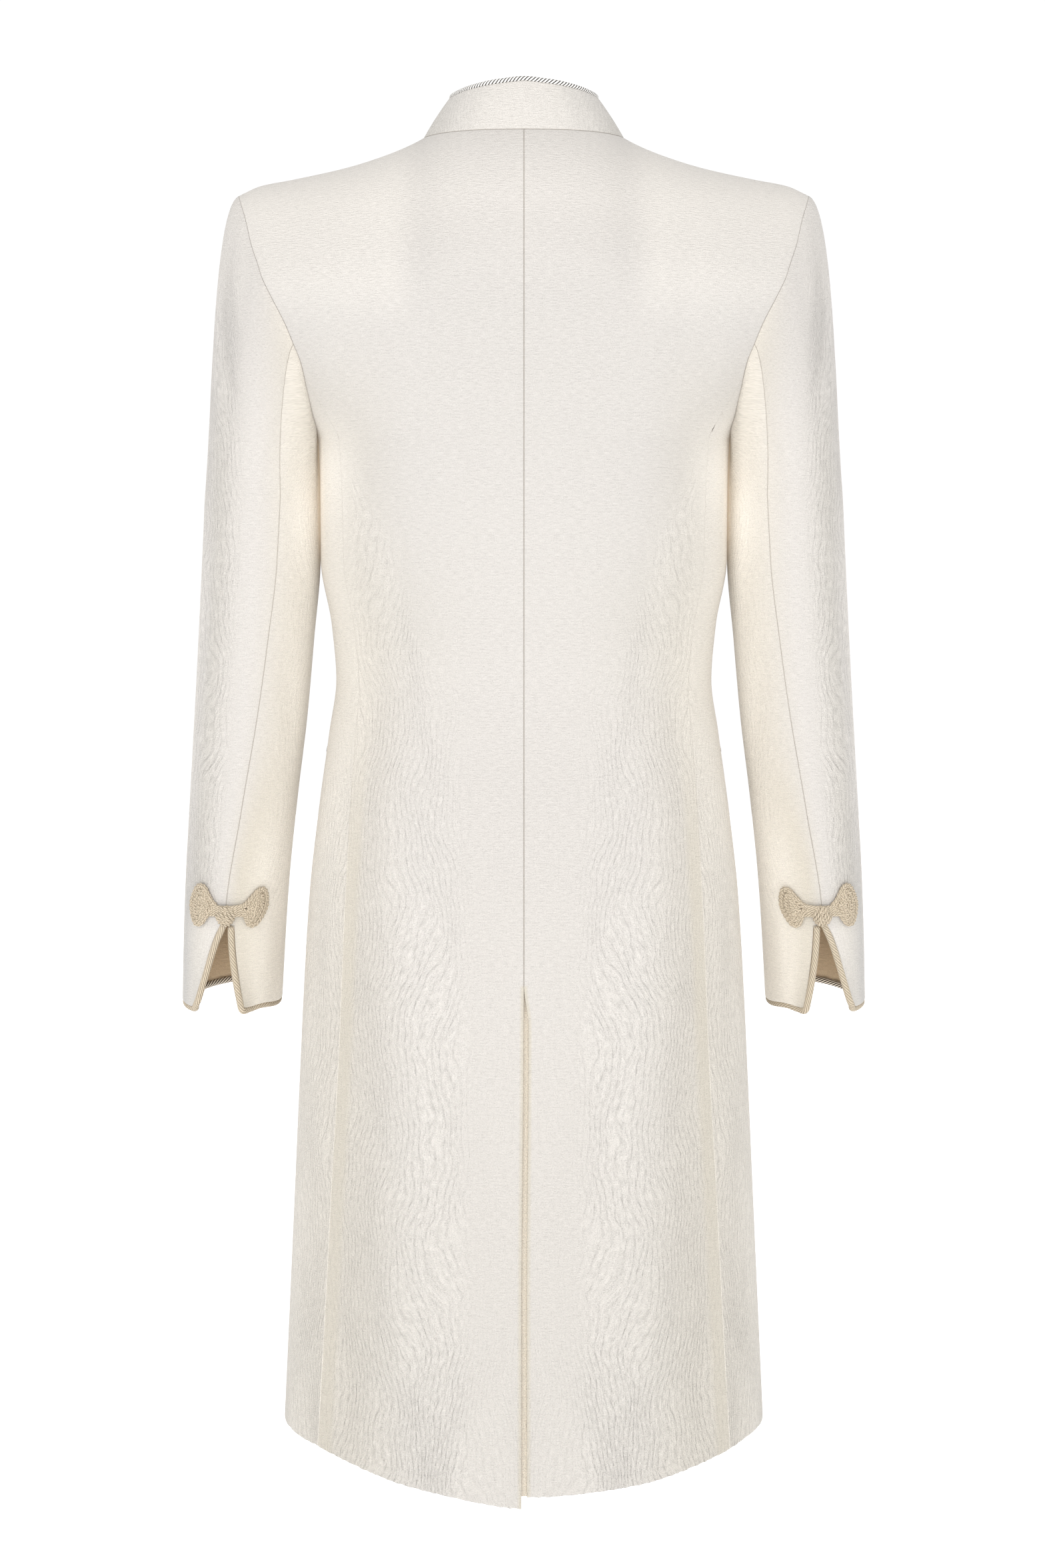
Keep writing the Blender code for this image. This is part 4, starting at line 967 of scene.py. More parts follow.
# Cuts: the width and length in metres and the area in square metres of a piece laid flat, and what it hangs
# from; this record is not filled in for any piece
Cut = namedtuple("Cut", "width length area hangs_from")


def no_value(grid):
    return np.zeros(grid.shape[:2])


def body_depth(grid):
    """How far down the body's cloth lies, along it where it rolls over the shoulders."""
    x, z = np.abs(grid[..., 0]), grid[..., 2]
    down = np.maximum(ridge(x) - z, 0.0)
    return 0.045 * (1 - np.exp(-down / 0.022)) - z


def sleeve_depth(grid):
    return -grid[..., 2]


def cloth_piece(grid, axis_of, seams, relief, seed, depth=None, pulled=((0, -1), (0,)), folds=no_value,
                frayed=False, from_end=False, **tints):
    """Make one cloth piece, on the wearer's left or centre, from its grid and the strength of its tints."""
    grid = grid.copy()
    pull_in(grid, *pulled)
    grid = with_edge_stations(with_edge_stations(grid, 0), 1)
    normals = grid_normals(grid, axis_of(grid))
    u, v = cloth_places(grid)
    if from_end:
        u = u - u[-1:]
    if depth is None:
        u = u - u[len(u) // 2]
    else:
        v = depth(grid)
    strength = relief(grid)
    columns, rows = grid.shape[:2]
    i = np.minimum(np.arange(columns), np.arange(columns)[::-1])[:, None]
    j = np.minimum(np.arange(rows), np.arange(rows)[::-1])[None]
    calm_edge = np.minimum(np.minimum(i, j) / 4.0, 1.0)
    lift = RELIEF_HEIGHT * pucker(u, v, seed) * strength * calm_edge + folds(grid)
    placed = grid + normals * lift[..., None]
    sink_edges(placed, normals, seams)
    if frayed:
        placed[:, -1, 2] -= FRAY * np.random.default_rng(seed).random(columns)
    values = {"relief": strength, "seam": edge_values((columns, rows), seams)}
    for name in ("warm_shade", "dark_shade", "grey_shade", "painted_light", "vent", "glow"):
        values[name] = tints.get(name, no_value)(grid)
    return placed, normals, np.stack([u, v], axis=-1), values



def finish_cloth(kind, hand, made, node, flip_x=False):
    """Put a made grid into the scene, on either side of the wearer, and let it stand for its solid."""
    placed, normals, uv, values = made
    if flip_x:
        placed, normals = mirrored(placed), mirrored(normals)
    middle = (placed.shape[0] // 2, placed.shape[1] // 2)
    across = placed[middle[0] + 1, middle[1]] - placed[middle]
    down = placed[middle[0], middle[1] + 1] - placed[middle]
    outward = float(np.cross(across, down) @ normals[middle]) > 0
    piece = cloth_shell("cloth_" + kind + hand, placed, normals, uv, values, flip=not outward)
    piece.data.materials.append(JACQUARD)
    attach(piece, "root")
    if node:
        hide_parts(node)


SIDES = ((HEM_LEFT, "_left", False), (HEM_RIGHT, "_right", True))
# Seams: how dark the line on each edge of a piece is, by its axis and edge
BACK_SEAMS = {(0, 0): 1.0, (0, 1): 0.12, (1, 0): 0.8}
SIDE_SEAMS = {(0, 0): 0.12, (0, 1): 0.12, (1, 0): 0.12}
FRONT_SEAMS = {(0, 1): 0.12, (1, 0): 0.8}
SLEEVE_SEAMS = {"sleeve_top": {(0, 0): 0.12, (0, 1): 0.7, (1, 0): 0.4},
                "sleeve_under": {(0, 0): 0.7, (0, 1): 0.12, (1, 0): 0.12}}


def seam_band(grid):
    """1 on the band of the back panel that lies along its side seam in the skirt."""
    x, z = np.abs(grid[..., 0]), grid[..., 2]
    inward = body_x(seam_angle[1](z), z) - x
    band = soft_step((inward + 0.0005) / 0.001) * soft_step((0.0135 - inward) / 0.007)
    return band * soft_step((-0.42 - z) / 0.12) * soft_step(grid[..., 1] / 0.01)


def body_warm_shade(grid):
    """Painted warm shade towards the flanks and the waist's sides, and along the side seam's band in the
    skirt.
    """
    x, z = np.abs(grid[..., 0]), grid[..., 2]
    waist = 0.25 * gaussian(z, -0.375, 0.085) * gaussian(x, 0.110, 0.050)
    flank = 0.50 * soft_step((x - 0.075) / 0.06) * soft_step((-0.12 - z) / 0.12)
    return flank + waist + 0.45 * seam_band(grid)


def body_dark_shade(grid):
    """Painted shade towards the skirt's hem and sides, and at the waist's sides."""
    x, z = np.abs(grid[..., 0]), grid[..., 2]
    low = soft_step((-0.38 - z) / 0.55)
    side = soft_step((x - 0.015) / 0.095)
    outer = soft_step((x - 0.105) / 0.035)
    waist = 0.20 * gaussian(z, -0.345, 0.040) * gaussian(x, 0.105, 0.055)
    return np.clip(low * (0.22 + 0.12 * side - 0.06 * outer) + waist, 0.0, 1.0)


def body_painted_light(grid):
    """Painted light where the hanging sleeve is close to the body, lifting the shade between them, and on the
    shoulders and the upper back's outer parts.
    """
    x, z = np.abs(grid[..., 0]), grid[..., 2]
    edge = soft_step((x - half_width(z) + 0.045) / 0.045)
    beside_arm = edge * (0.20 + 0.20 * soft_step((z + 0.66) / 0.10)) * soft_step((-0.17 - z) / 0.08)
    shoulder = (0.10 + 0.12 * soft_step((x - 0.02) / 0.05)) * soft_step((z + 0.11) / 0.09)
    outer = 0.20 * soft_step((x - 0.07) / 0.03) * soft_step((z + 0.15) / 0.05)
    beside_arm += edge * 0.28 * gaussian(z, -0.245, 0.035)
    return beside_arm + shoulder + outer


def body_glow(grid):
    """The strip of the body that faces the hanging sleeve, where the cloth gets a painted glow."""
    x, z = np.abs(grid[..., 0]), grid[..., 2]
    side = 0.30 * soft_step((x / half_width(z) - 0.955) / 0.035)
    return side * soft_step((-0.20 - z) / 0.03) * soft_step((z + 0.34) / 0.06)


def body_grey_shade(grid):
    """Painted grey shade on the upper back and the shoulders."""
    z = grid[..., 2]
    return 0.30 * soft_step((z + 0.52) / 0.30) * soft_step((-0.04 - z) / 0.10)


BODY_LOOKS = dict(depth=body_depth, folds=body_folds, warm_shade=body_warm_shade, dark_shade=body_dark_shade, grey_shade=body_grey_shade,
                  painted_light=body_painted_light, glow=body_glow, frayed=True)


def build_backs():
    columns = np.linspace(0, PANEL_CELLS, spread(0.205) + 1)
    for hem, hand, flip in SIDES:
        grid = panel(1, hem, index=columns)
        below = grid[0, :, 2] <= VENT_TOP_Z
        fold = VENT_FOLD_LEFT if hand == "_left" else VENT_FOLD_RIGHT
        fold = fold[0] + (fold[1] - fold[0]) * soft_step((-0.65 - grid[0, :, 2]) / 0.20)
        opening = soft_step((VENT_TOP_Z - grid[0, :, 2]) / 0.030)
        shift = np.where(below, GAP / 2 + (fold - GAP / 2) * opening, GAP / 2)
        reach = np.clip(1 - grid[:, :, 0] / 0.02, 0.0, 1.0)
        grid[:, :, 0] += shift[None] * reach
        made = cloth_piece(grid, body_axis, BACK_SEAMS, body_relief, BACK_SEED, pulled=((-1,), (0,)),
                           **BODY_LOOKS)
        finish_back_edges(made)
        finish_cloth("back", hand, made, "back" + hand, flip)


def finish_back_edges(made):
    """The centre seam ends at the vent, whose folded edge takes a line of painted warm shade; the armhole's
    seam is dark and the side seam a painted highlight line in the skirt.
    """
    placed, values = made[0], made[3]
    below = placed[:3, :, 2] < VENT_TOP_Z
    values["seam"][:3] = np.where(below, 0.0, values["seam"][:3])
    values["warm_shade"][:3] = np.where(below, 1.0, values["warm_shade"][:3])
    armhole = placed[-3:, :, 2] > BACK_JOIN_Z
    values["seam"][-3:] *= np.where(armhole, 4.0, 0.0)
    seam_highlight = 0.55 * soft_step((-0.46 - placed[-2:, :, 2]) / 0.12)
    values["painted_light"][-2:] = np.maximum(values["painted_light"][-2:], seam_highlight)


def build_underlap():
    """The part of the right back that runs on under the left one below the vent's top."""
    xs = np.linspace(-VENT_UNDERLAP, max(VENT_FOLD_RIGHT) + 0.0040, spread(VENT_UNDERLAP) + 1)
    grid = panel(1, HEM_RIGHT, x=xs)
    rows = np.where(grid[0, :, 2] <= VENT_TOP_Z + 0.012)[0]
    grid = grid[:, rows[0]:]
    grid[:, :, 1] -= UNDERLAP_DEPTH

    # Where the underlap shows in the vent's recess: it takes a painted tone of warm shade and light, and a
    # fray speckle.
    def vent(placed):
        return 0.9 * gaussian(placed[..., 0], 0.0016, 0.0055)

    made = cloth_piece(grid, body_axis, {}, body_relief, BACK_SEED, pulled=((), ()), vent=vent,
                       **dict(BODY_LOOKS, glow=no_value))
    finish_cloth("vent_underlap", "", made, None, True)


def build_sides():
    for hem, hand, flip in SIDES:
        made = cloth_piece(side_panel(hem), body_axis, SIDE_SEAMS, body_relief, SIDE_SEED, **BODY_LOOKS)
        finish_cloth("side", hand, made, "side" + hand, flip)


def build_fronts():
    columns = np.linspace(0, PANEL_CELLS, spread(0.205, FRONT_CELL) + 1)
    lap = np.linspace(-FRONT_OVERLAP, 0.0, spread(FRONT_OVERLAP, FRONT_CELL) + 1)[:-1]
    grid = np.concatenate([panel(-1, HEM_RIGHT, x=lap, cell=FRONT_CELL),
                           panel(-1, HEM_RIGHT, index=columns, cell=FRONT_CELL)])
    grid[:len(lap), :, 0] = lap[:, None]
    made = cloth_piece(grid, body_axis, FRONT_SEAMS, body_relief, FRONT_SEED, pulled=((-1,), (0,)),
                       **BODY_LOOKS)
    finish_cloth("front", "_right", made, "front_right", True)
    under_end = FRONT_OVERLAP + FRONT_STEP_START
    step_end = FRONT_OVERLAP + FRONT_STEP_END
    under = np.linspace(-FRONT_OVERLAP, under_end, spread(2 * FRONT_OVERLAP, FRONT_CELL) + 1)
    step = np.linspace(under_end, step_end, 4)[1:]
    start = np.concatenate([panel(-1, HEM_LEFT, x=under, cell=FRONT_CELL),
                            panel(-1, HEM_LEFT, x=step, cell=FRONT_CELL)])
    start[:, :, 0] = np.concatenate([under, step])[:, None]
    depth = UNDERLAP_DEPTH * (1 - soft_step((start[:, :, 0] - under_end) / (step_end - under_end)))
    start[:, :, 1] += depth
    rest = panel(-1, HEM_LEFT, index=columns[columns >= 1.0], cell=FRONT_CELL)
    joined = [start]
    bridge = spread(0.012, FRONT_CELL)
    for k in range(1, bridge):
        share = k / bridge
        column = start[-1] * (1 - share) + rest[0] * share
        column[:, 1] = body_y(column[:, 0], column[:, 2], -1)
        joined.append(column[None])
    grid = np.concatenate(joined + [rest])
    made = cloth_piece(grid, body_axis, FRONT_SEAMS, body_relief, FRONT_SEED, pulled=((-1,), (0,)),
                       **BODY_LOOKS)
    finish_cloth("front", "_left", made, "front_left", False)


def sleeve_turn(grid):
    """Degrees round the sleeve, from its outermost line through the back."""
    centre = sleeve_axis(grid)
    return np.degrees(np.arctan2(grid[..., 1] - centre[..., 1], grid[..., 0] - centre[..., 0]))


def sleeve_relief(grid):
    """Strong grain on the sleeve's outer side, calm beside the back seam, and mild inside."""
    turn = sleeve_turn(grid)
    outer = 0.80 * soft_step((84.0 - turn) / 18.0) * soft_step((turn + 70.0) / 40.0)
    inner = 0.45 * gaussian(np.abs(turn), 150.0, 30.0)
    top = soft_step((-0.05 - grid[..., 2]) / 0.12)
    cuff = soft_step((-0.565 - grid[..., 2]) / 0.025)
    return np.clip((0.12 + (1 - 0.75 * cuff) * (outer + inner)) * (0.45 + 0.55 * top), 0.0, 1.0)


def sleeve_folds(grid):
    """Soft folds of the hanging sleeve: long ones at the elbow and short ones under the arm."""
    turn, z = sleeve_turn(grid), grid[..., 2]
    elbow = -0.0013 * gaussian(turn, 38.0 + 90.0 * (z + 0.36), 11.0) * gaussian(z, -0.360, 0.085)
    elbow += 0.0010 * gaussian(turn, 66.0 + 60.0 * (z + 0.38), 12.0) * gaussian(z, -0.380, 0.100)
    crook = -0.0010 * gaussian(turn, 138.0 - 220.0 * (z + 0.33), 13.0) * gaussian(z, -0.330, 0.040)
    crook -= 0.0009 * gaussian(turn, 132.0 - 260.0 * (z + 0.42), 12.0) * gaussian(z, -0.420, 0.035)
    under_arm = -0.0012 * gaussian(turn, 104.0 + 160.0 * (z + 0.22), 10.0) * gaussian(z, -0.225, 0.040)
    cap = -0.0009 * gaussian(turn, 60.0, 9.0) * gaussian(z, -0.115, 0.035)
    return elbow + crook + under_arm + cap


def sleeve_warm_shade(grid):
    """Painted warm shade on the sleeve, strongest towards the body."""
    centre = sleeve_axis(grid)
    inside = (centre[..., 0] - grid[..., 0]) / 0.043
    low = soft_step((-0.42 - grid[..., 2]) / 0.14)
    return (0.80 + 0.20 * low) * soft_step((inside + 0.1 + 0.1 * low) / (0.9 - 0.5 * low))


def sleeve_dark_shade(grid):
    """Painted shade on the outermost strip of the sleeve."""
    turn = np.abs(sleeve_turn(grid))
    strip = (0.10 + 0.50 * soft_step((turn - 30.0) / 35.0)) * soft_step((92.0 - turn) / 52.0)
    return strip * soft_step((-0.08 - grid[..., 2]) / 0.20)


# Painted grey shade on the sleeve's lower outer side, down by the cuff.
def sleeve_grey_shade(grid):
    turn = np.abs(sleeve_turn(grid))
    return 0.85 * soft_step((62.0 - turn) / 40.0) * soft_step((-0.52 - grid[..., 2]) / 0.07)


def sleeve_painted_light(grid):
    """Painted light on the sleeve's inner side, lifting the shade beside the body, and along its outline,
    above the cuff and on the cap.
    """
    turn, z = np.abs(sleeve_turn(grid)), grid[..., 2]
    low = soft_step((-0.47 - z) / 0.08)
    inner = 0.54 + 0.42 * gaussian(z, -0.275, 0.035) + 0.12 * low
    inner = inner * soft_step((turn - 92.0) / (64.0 - 22.0 * low))
    inner += 0.50 * low * soft_step((turn - 130.0) / 40.0)
    outline = 0.30 * soft_step((34.0 - turn) / 26.0) * soft_step((-0.12 - z) / 0.10)
    outline += 0.22 * gaussian(turn, 62.0, 24.0) * soft_step((-0.575 - z) / 0.02)
    cap = 0.16 * soft_step((z + 0.15) / 0.05) * soft_step((98.0 - turn) / 30.0)
    return np.clip(inner + outline + cap, 0.0, 1.0)


def sleeve_glow(grid):
    """The strip of the sleeve that faces the body, where the cloth gets a painted glow."""
    turn, z = np.abs(sleeve_turn(grid)), grid[..., 2]
    side = 0.30 * soft_step((turn - 156.0) / 14.0)
    return side * soft_step((-0.20 - z) / 0.03) * soft_step((z + 0.34) / 0.06)


def build_sleeves():
    top, under = sleeve_pieces()
    shape_cuff(top, under)
    for kind, grid in (("sleeve_top", top), ("sleeve_under", under)):
        made = cloth_piece(grid, sleeve_axis, SLEEVE_SEAMS[kind], sleeve_relief, SLEEVE_SEED,
                           depth=sleeve_depth, folds=sleeve_folds, warm_shade=sleeve_warm_shade, dark_shade=sleeve_dark_shade,
                           grey_shade=sleeve_grey_shade, painted_light=sleeve_painted_light, glow=sleeve_glow,
                           from_end=kind == "sleeve_under")
        cut_seam(made, kind)
        for hand, flip in HANDS:
            finish_cloth(kind, "_" + hand, made, kind + "_" + hand, flip)
    return top, under


def cut_seam(made, name):
    """The seam's line stops where the slit opens: below it the rope follows the edge."""
    placed, values = made[0], made[3]
    edge = slice(-3, None) if name == "sleeve_top" else slice(0, 3)
    slit = placed[edge][..., 2] < CUFF_APEX_Z
    values["seam"][edge] = np.where(slit, 0.0, values["seam"][edge])


def collar_relief(grid):
    x = np.abs(grid[..., 0])
    return np.clip(0.22 + 0.35 * soft_step((x - 0.02) / 0.04), 0.0, 1.0)


# Painted shade on the collar towards its front ends.
def collar_dark_shade(grid):
    return 0.45 * soft_step((np.abs(grid[..., 0]) - 0.045) / 0.03)


# Painted grey shade, even over the whole collar.
def collar_grey_shade(grid):
    return np.full(grid.shape[:2], 0.25)


# Painted light, even over the whole collar.
def collar_painted_light(grid):
    return np.full(grid.shape[:2], 0.26)


def build_collar():
    grid = collar_grid()
    made = cloth_piece(grid, neck_axis, {(1, 0): 0.8}, collar_relief, COLLAR_SEED, pulled=((), ()),
                       dark_shade=collar_dark_shade, grey_shade=collar_grey_shade, painted_light=collar_painted_light)
    finish_cloth("collar", "", made, "collar", False)
    return grid


# Ropes


def resampled(path, step):
    """Points along a path, evenly spaced, on a smooth curve through its own points."""
    path = np.asarray(path, float)
    far = np.concatenate([[0], np.cumsum(np.linalg.norm(np.diff(path, axis=0), axis=1))])
    dense_at = np.linspace(0, far[-1], max(int(far[-1] / step), 2) + 1)
    tangents = np.gradient(path, far, axis=0)
    i = np.clip(np.searchsorted(far, dense_at, side="right") - 1, 0, len(far) - 2)
    span = (far[i + 1] - far[i])[:, None]
    u = ((dense_at - far[i]) / (far[i + 1] - far[i]))[:, None]
    return (path[i] * (1 + 2 * u) * (1 - u) ** 2 + path[i + 1] * u * u * (3 - 2 * u)
            + tangents[i] * span * u * (1 - u) ** 2 + tangents[i + 1] * span * u * u * (u - 1))


def carried_frames(path):
    """Two directions across the path at each of its points, carried along it without a twist."""
    along = np.gradient(path, axis=0)
    along /= np.linalg.norm(along, axis=1)[:, None]
    start = np.array([0.0, 0.0, 1.0]) if abs(along[0][2]) < 0.8 else np.array([0.0, 1.0, 0.0])
    side = np.cross(along[0], start)
    sides = []
    for direction in along:
        side = side - direction * (side @ direction)
        side = side / np.linalg.norm(side)
        sides.append(side)
    sides = np.array(sides)
    return sides, np.cross(along, sides)


def rope_mesh(paths, radius, strands, lead, cells, step, hand, depth):
    """Twisted rope along each path: a lobed section that turns as it goes, with rounded ends."""
    vertices, quads, rims, uvs, first = [], [], [], [], 0
    for route in paths:
        path = resampled(route, step)
        side, other = carried_frames(path)
        far = np.concatenate([[0], np.cumsum(np.linalg.norm(np.diff(path, axis=0), axis=1))])
        turn = np.linspace(0, 2 * math.pi, cells, endpoint=False)[None]
        twist = hand * far[:, None] / lead
        lobe = np.abs(np.sin(strands * (turn / 2 - math.pi * twist)))
        size = radius * (1 - depth * (1 - lobe) ** 2)
        end = np.minimum(far, far[-1] - far) / (radius * 0.9)
        size = size * np.sqrt(np.clip(1 - (1 - np.clip(end, 0.05, 1)) ** 2, 0.05, 1))[:, None]
        points = path[:, None] + size[:, :, None] * (np.cos(turn)[:, :, None] * side[:, None]
                                                     + np.sin(turn)[:, :, None] * other[:, None])
        count = len(path)
        i, k = np.meshgrid(np.arange(count - 1), np.arange(cells), indexing="ij")
        corners = ((i, k), (i, k + 1), (i + 1, k + 1), (i + 1, k))
        quads.append(first + np.stack([a * cells + b % cells for a, b in corners], axis=-1).reshape(-1, 4))
        strand_at = [strands * (b / cells - twist[a, 0]) for a, b in corners]
        uvs.append(np.stack([np.stack([far[a] for a, _ in corners], axis=-1),
                             np.stack(strand_at, axis=-1)], axis=-1).reshape(-1, 2))
        rims.append([first + k for k in range(cells)][::-1])
        rims.append([first + (count - 1) * cells + k for k in range(cells)])
        vertices.append(points.reshape(-1, 3))
        first += count * cells
    return np.concatenate(vertices), np.concatenate(quads), rims, np.concatenate(uvs)


def add_rope(name, paths, material, slot, flip=False, deep_shade=None, **shape):
    """Add ropes as one piece in their solid's place; flipped ones keep the twist of the others."""
    vertices, quads, rims, uv = rope_mesh(paths, hand=1 if flip else -1, **shape)
    values = {"deep_shade": np.zeros(len(vertices)) if deep_shade is None else deep_shade(vertices)}
    if flip:
        vertices = mirrored(vertices)
        quads = quads[:, ::-1]
        uv = uv.reshape(-1, 4, 2)[:, ::-1].reshape(-1, 2)
        rims = [rim[::-1] for rim in rims]
    rope = mesh_from("cord_" + name, vertices, quads, rims, values=values, corner_uv=uv)
    rope.data.materials.append(material)
    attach(rope, "root")
    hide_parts(name)


def edge_route(points, normals, outwards, radius=ROPE_RADIUS):
    return points - normals * CLOTH / 2 + outwards * (radius + ROPE_CLEARANCE)


def unit(vectors):
    return vectors / (np.linalg.norm(vectors, axis=-1)[..., None] + 1e-12)


def build_collar_rope(grid):
    normals = grid_normals(grid, neck_axis(grid))
    route = edge_route(grid[:, -1], normals[:, -1], unit(grid[:, -1] - grid[:, -2]), COLLAR_ROPE_RADIUS)
    # The whole collar rope gets painted deep shade in its grooves and painted highlights on its strands.
    add_rope("piping_collar", [route[::4]], COLLAR_ROPE, "collar_rope",
             deep_shade=lambda points: np.full(len(points), 0.90), radius=COLLAR_ROPE_RADIUS, strands=4,
             lead=COLLAR_ROPE_LEAD, cells=28, step=0.0006, depth=0.20)


def cuff_route(top, under):
    """Down one side of the slit, round the hem and up the other side."""
    halves = []
    for grid, edge, inner in ((top, -1, -2), (under, 0, 1)):
        normals = grid_normals(grid, sleeve_axis(grid))
        rows = np.where(grid[edge, :, 2] <= CUFF_APEX_Z + 1e-4)[0]
        aside = unit(grid[edge, rows] - grid[inner, rows])
        slit = edge_route(grid[edge, rows], normals[edge, rows], aside)
        down = unit(grid[:, -1] - grid[:, -2])
        hem = edge_route(grid[:, -1], normals[:, -1], down) - down * HEM_ROPE_LIFT
        near = np.linalg.norm(hem - hem[edge], axis=1)
        hem = hem - normals[:, -1] * HEM_ROPE_TUCK * soft_step((near[:, None] - 0.002) / 0.008)
        keep = near > 0.0035
        corner = slit[-1:] + down[edge] * 0.0016 - aside[-1] * 0.0004
        slit = np.vstack([slit[:1] + np.array([0.0, 0.0, 0.0035]), slit[:-2]])
        if edge == -1:
            halves.append(np.vstack([slit[::3], corner, hem[keep][::-1][::4]]))
        else:
            halves.append(np.vstack([hem[keep][::-1][::4], corner, slit[::-1][::3]]))
    return np.vstack([halves[0][:-1], halves[1]])


def far_side(points):
    """1 on the hem's rope at the front of the sleeve, which gets painted deep shade in its grooves and
    painted highlights on its strands.
    """
    return soft_step((sleeve_centre_y(CUFF_HEM_Z) - 0.010 - points[:, 1]) / 0.010)


def build_cuff_ropes(top, under):
    route = cuff_route(top, under)
    for hand, flip in HANDS:
        add_rope("piping_cuff_" + hand, [route], ROPE, "rope", flip, far_side, radius=ROPE_RADIUS,
                 strands=7, lead=CUFF_ROPE_LEAD, cells=36, step=0.0007, depth=0.14)


# Frogs

Lobe = namedtuple("Lobe", "name angle level half_angle half_height")
LOBES = [
    Lobe("frog_lobe_outer", 58.0, -0.5700, 18.4, 0.0178),
    Lobe("frog_lobe_inner", 115.0, -0.5712, -16.4, 0.0164),
]
KNOT = Lobe("frog_knot", 85.6, -0.5755, 12.6, 0.0086)
LobeShape = namedtuple("LobeShape", "place height")
LOBE_SHAPE = [
    LobeShape(-1.0, 0.34),
    LobeShape(-0.8, 0.78),
    LobeShape(-0.4, 1.00),
    LobeShape(0.0, 0.92),
    LobeShape(0.4, 0.62),
    LobeShape(0.8, 0.33),
    LobeShape(1.0, 0.27),
]
lobe_shape = smooth(LOBE_SHAPE, "place", "height")
LOBE_WIDTH_SHARE = 0.93
CORD_RADIUS = 0.00115
CORD_LEAD = 0.0080
PLAIT_PITCH = 0.0084
PLAIT_HALF_WIDTH = 0.00125
PLAIT_SPACING = 0.0042
PLAIT_RISE = 0.0006
KNOT_CORD_SPACING = 0.0024
LOBE_SLANTS = {"frog_lobe_outer": 0.06, "frog_lobe_inner": 0.24}


def over_sleeve(angle, level, lift):
    """Points over the left sleeve's outer face, raised by lift."""
    angle, level, lift = np.broadcast_arrays(angle, level, lift)
    point = sleeve_ring(angle, level)
    around = sleeve_ring(angle + 0.5, level) - sleeve_ring(angle - 0.5, level)
    down = sleeve_ring(angle, level - 0.002) - sleeve_ring(angle, level + 0.002)
    normal = unit(np.cross(down, around))
    facing = np.sign(((point - sleeve_axis(point)) * normal).sum(axis=-1))
    return point + normal * (lift * facing)[..., None]


def degree_width(level):
    """Metres round the sleeve for each degree of its turn."""
    return math.radians(1) * float(sleeve_half_depth(level))


def lobe_outline(lobe, inset, turn):
    """Places of a closed loop that runs inset metres inside the lobe's outline, and a degree's width."""
    degree = degree_width(lobe.level) * LOBE_WIDTH_SHARE
    half = max(abs(lobe.half_angle) * degree - inset, 0.0004)
    across = np.cos(turn)
    rise = np.sin(turn)
    outline = lobe_shape(np.clip(across * 0.97, -1, 1)) * lobe.half_height
    reach = np.maximum(outline - inset, 0.0004)
    height = reach * np.sign(rise) * np.abs(rise) ** 0.75
    way = math.copysign(1.0, lobe.half_angle)
    return np.stack([way * across * half, height], axis=1), degree


def on_lobe(lobe, degree, spot, lift):
    across = spot[:, 0] + LOBE_SLANTS[lobe.name] * spot[:, 1]
    return over_sleeve(lobe.angle + across / degree, lobe.level + spot[:, 1], lift)


def lobe_plaits(lobe):
    """Plaits of three cords that follow the lobe's outline, one inside the other."""
    paths = []
    inset = PLAIT_HALF_WIDTH + CORD_RADIUS
    ring = 0
    reach = abs(lobe.half_angle) * degree_width(lobe.level) * LOBE_WIDTH_SHARE
    while reach - inset > 0.001:
        turn = np.linspace(0, 2 * math.pi, 120)
        flat, degree = lobe_outline(lobe, inset, turn)
        far = np.concatenate([[0], np.cumsum(np.linalg.norm(np.diff(flat, axis=0), axis=1))])
        waves = max(round(far[-1] / PLAIT_PITCH), 1)
        at = np.linspace(0, far[-1], waves * 10 + 1)
        middle = np.stack([np.interp(at, far, flat[:, 0]), np.interp(at, far, flat[:, 1])], axis=1)
        along = unit(np.gradient(middle, axis=0))
        beside = np.stack([-along[:, 1], along[:, 0]], axis=1)
        for cord in range(3):
            phase = 2 * math.pi * (waves * at / far[-1] + cord / 3)
            spot = middle + beside * (PLAIT_HALF_WIDTH * np.sin(phase))[:, None]
            lift = CORD_RADIUS + 0.0004 + 0.0003 * ring + PLAIT_RISE * (1 + np.sin(2 * phase))
            paths.append(on_lobe(lobe, degree, spot, lift))
        for beneath in (0.0, PLAIT_SPACING / 2):
            flat, degree = lobe_outline(lobe, inset + beneath, np.linspace(0, 2 * math.pi, 60))
            paths.append(on_lobe(lobe, degree, flat, CORD_RADIUS * 0.9))
        inset += PLAIT_SPACING
        ring += 1
    return paths


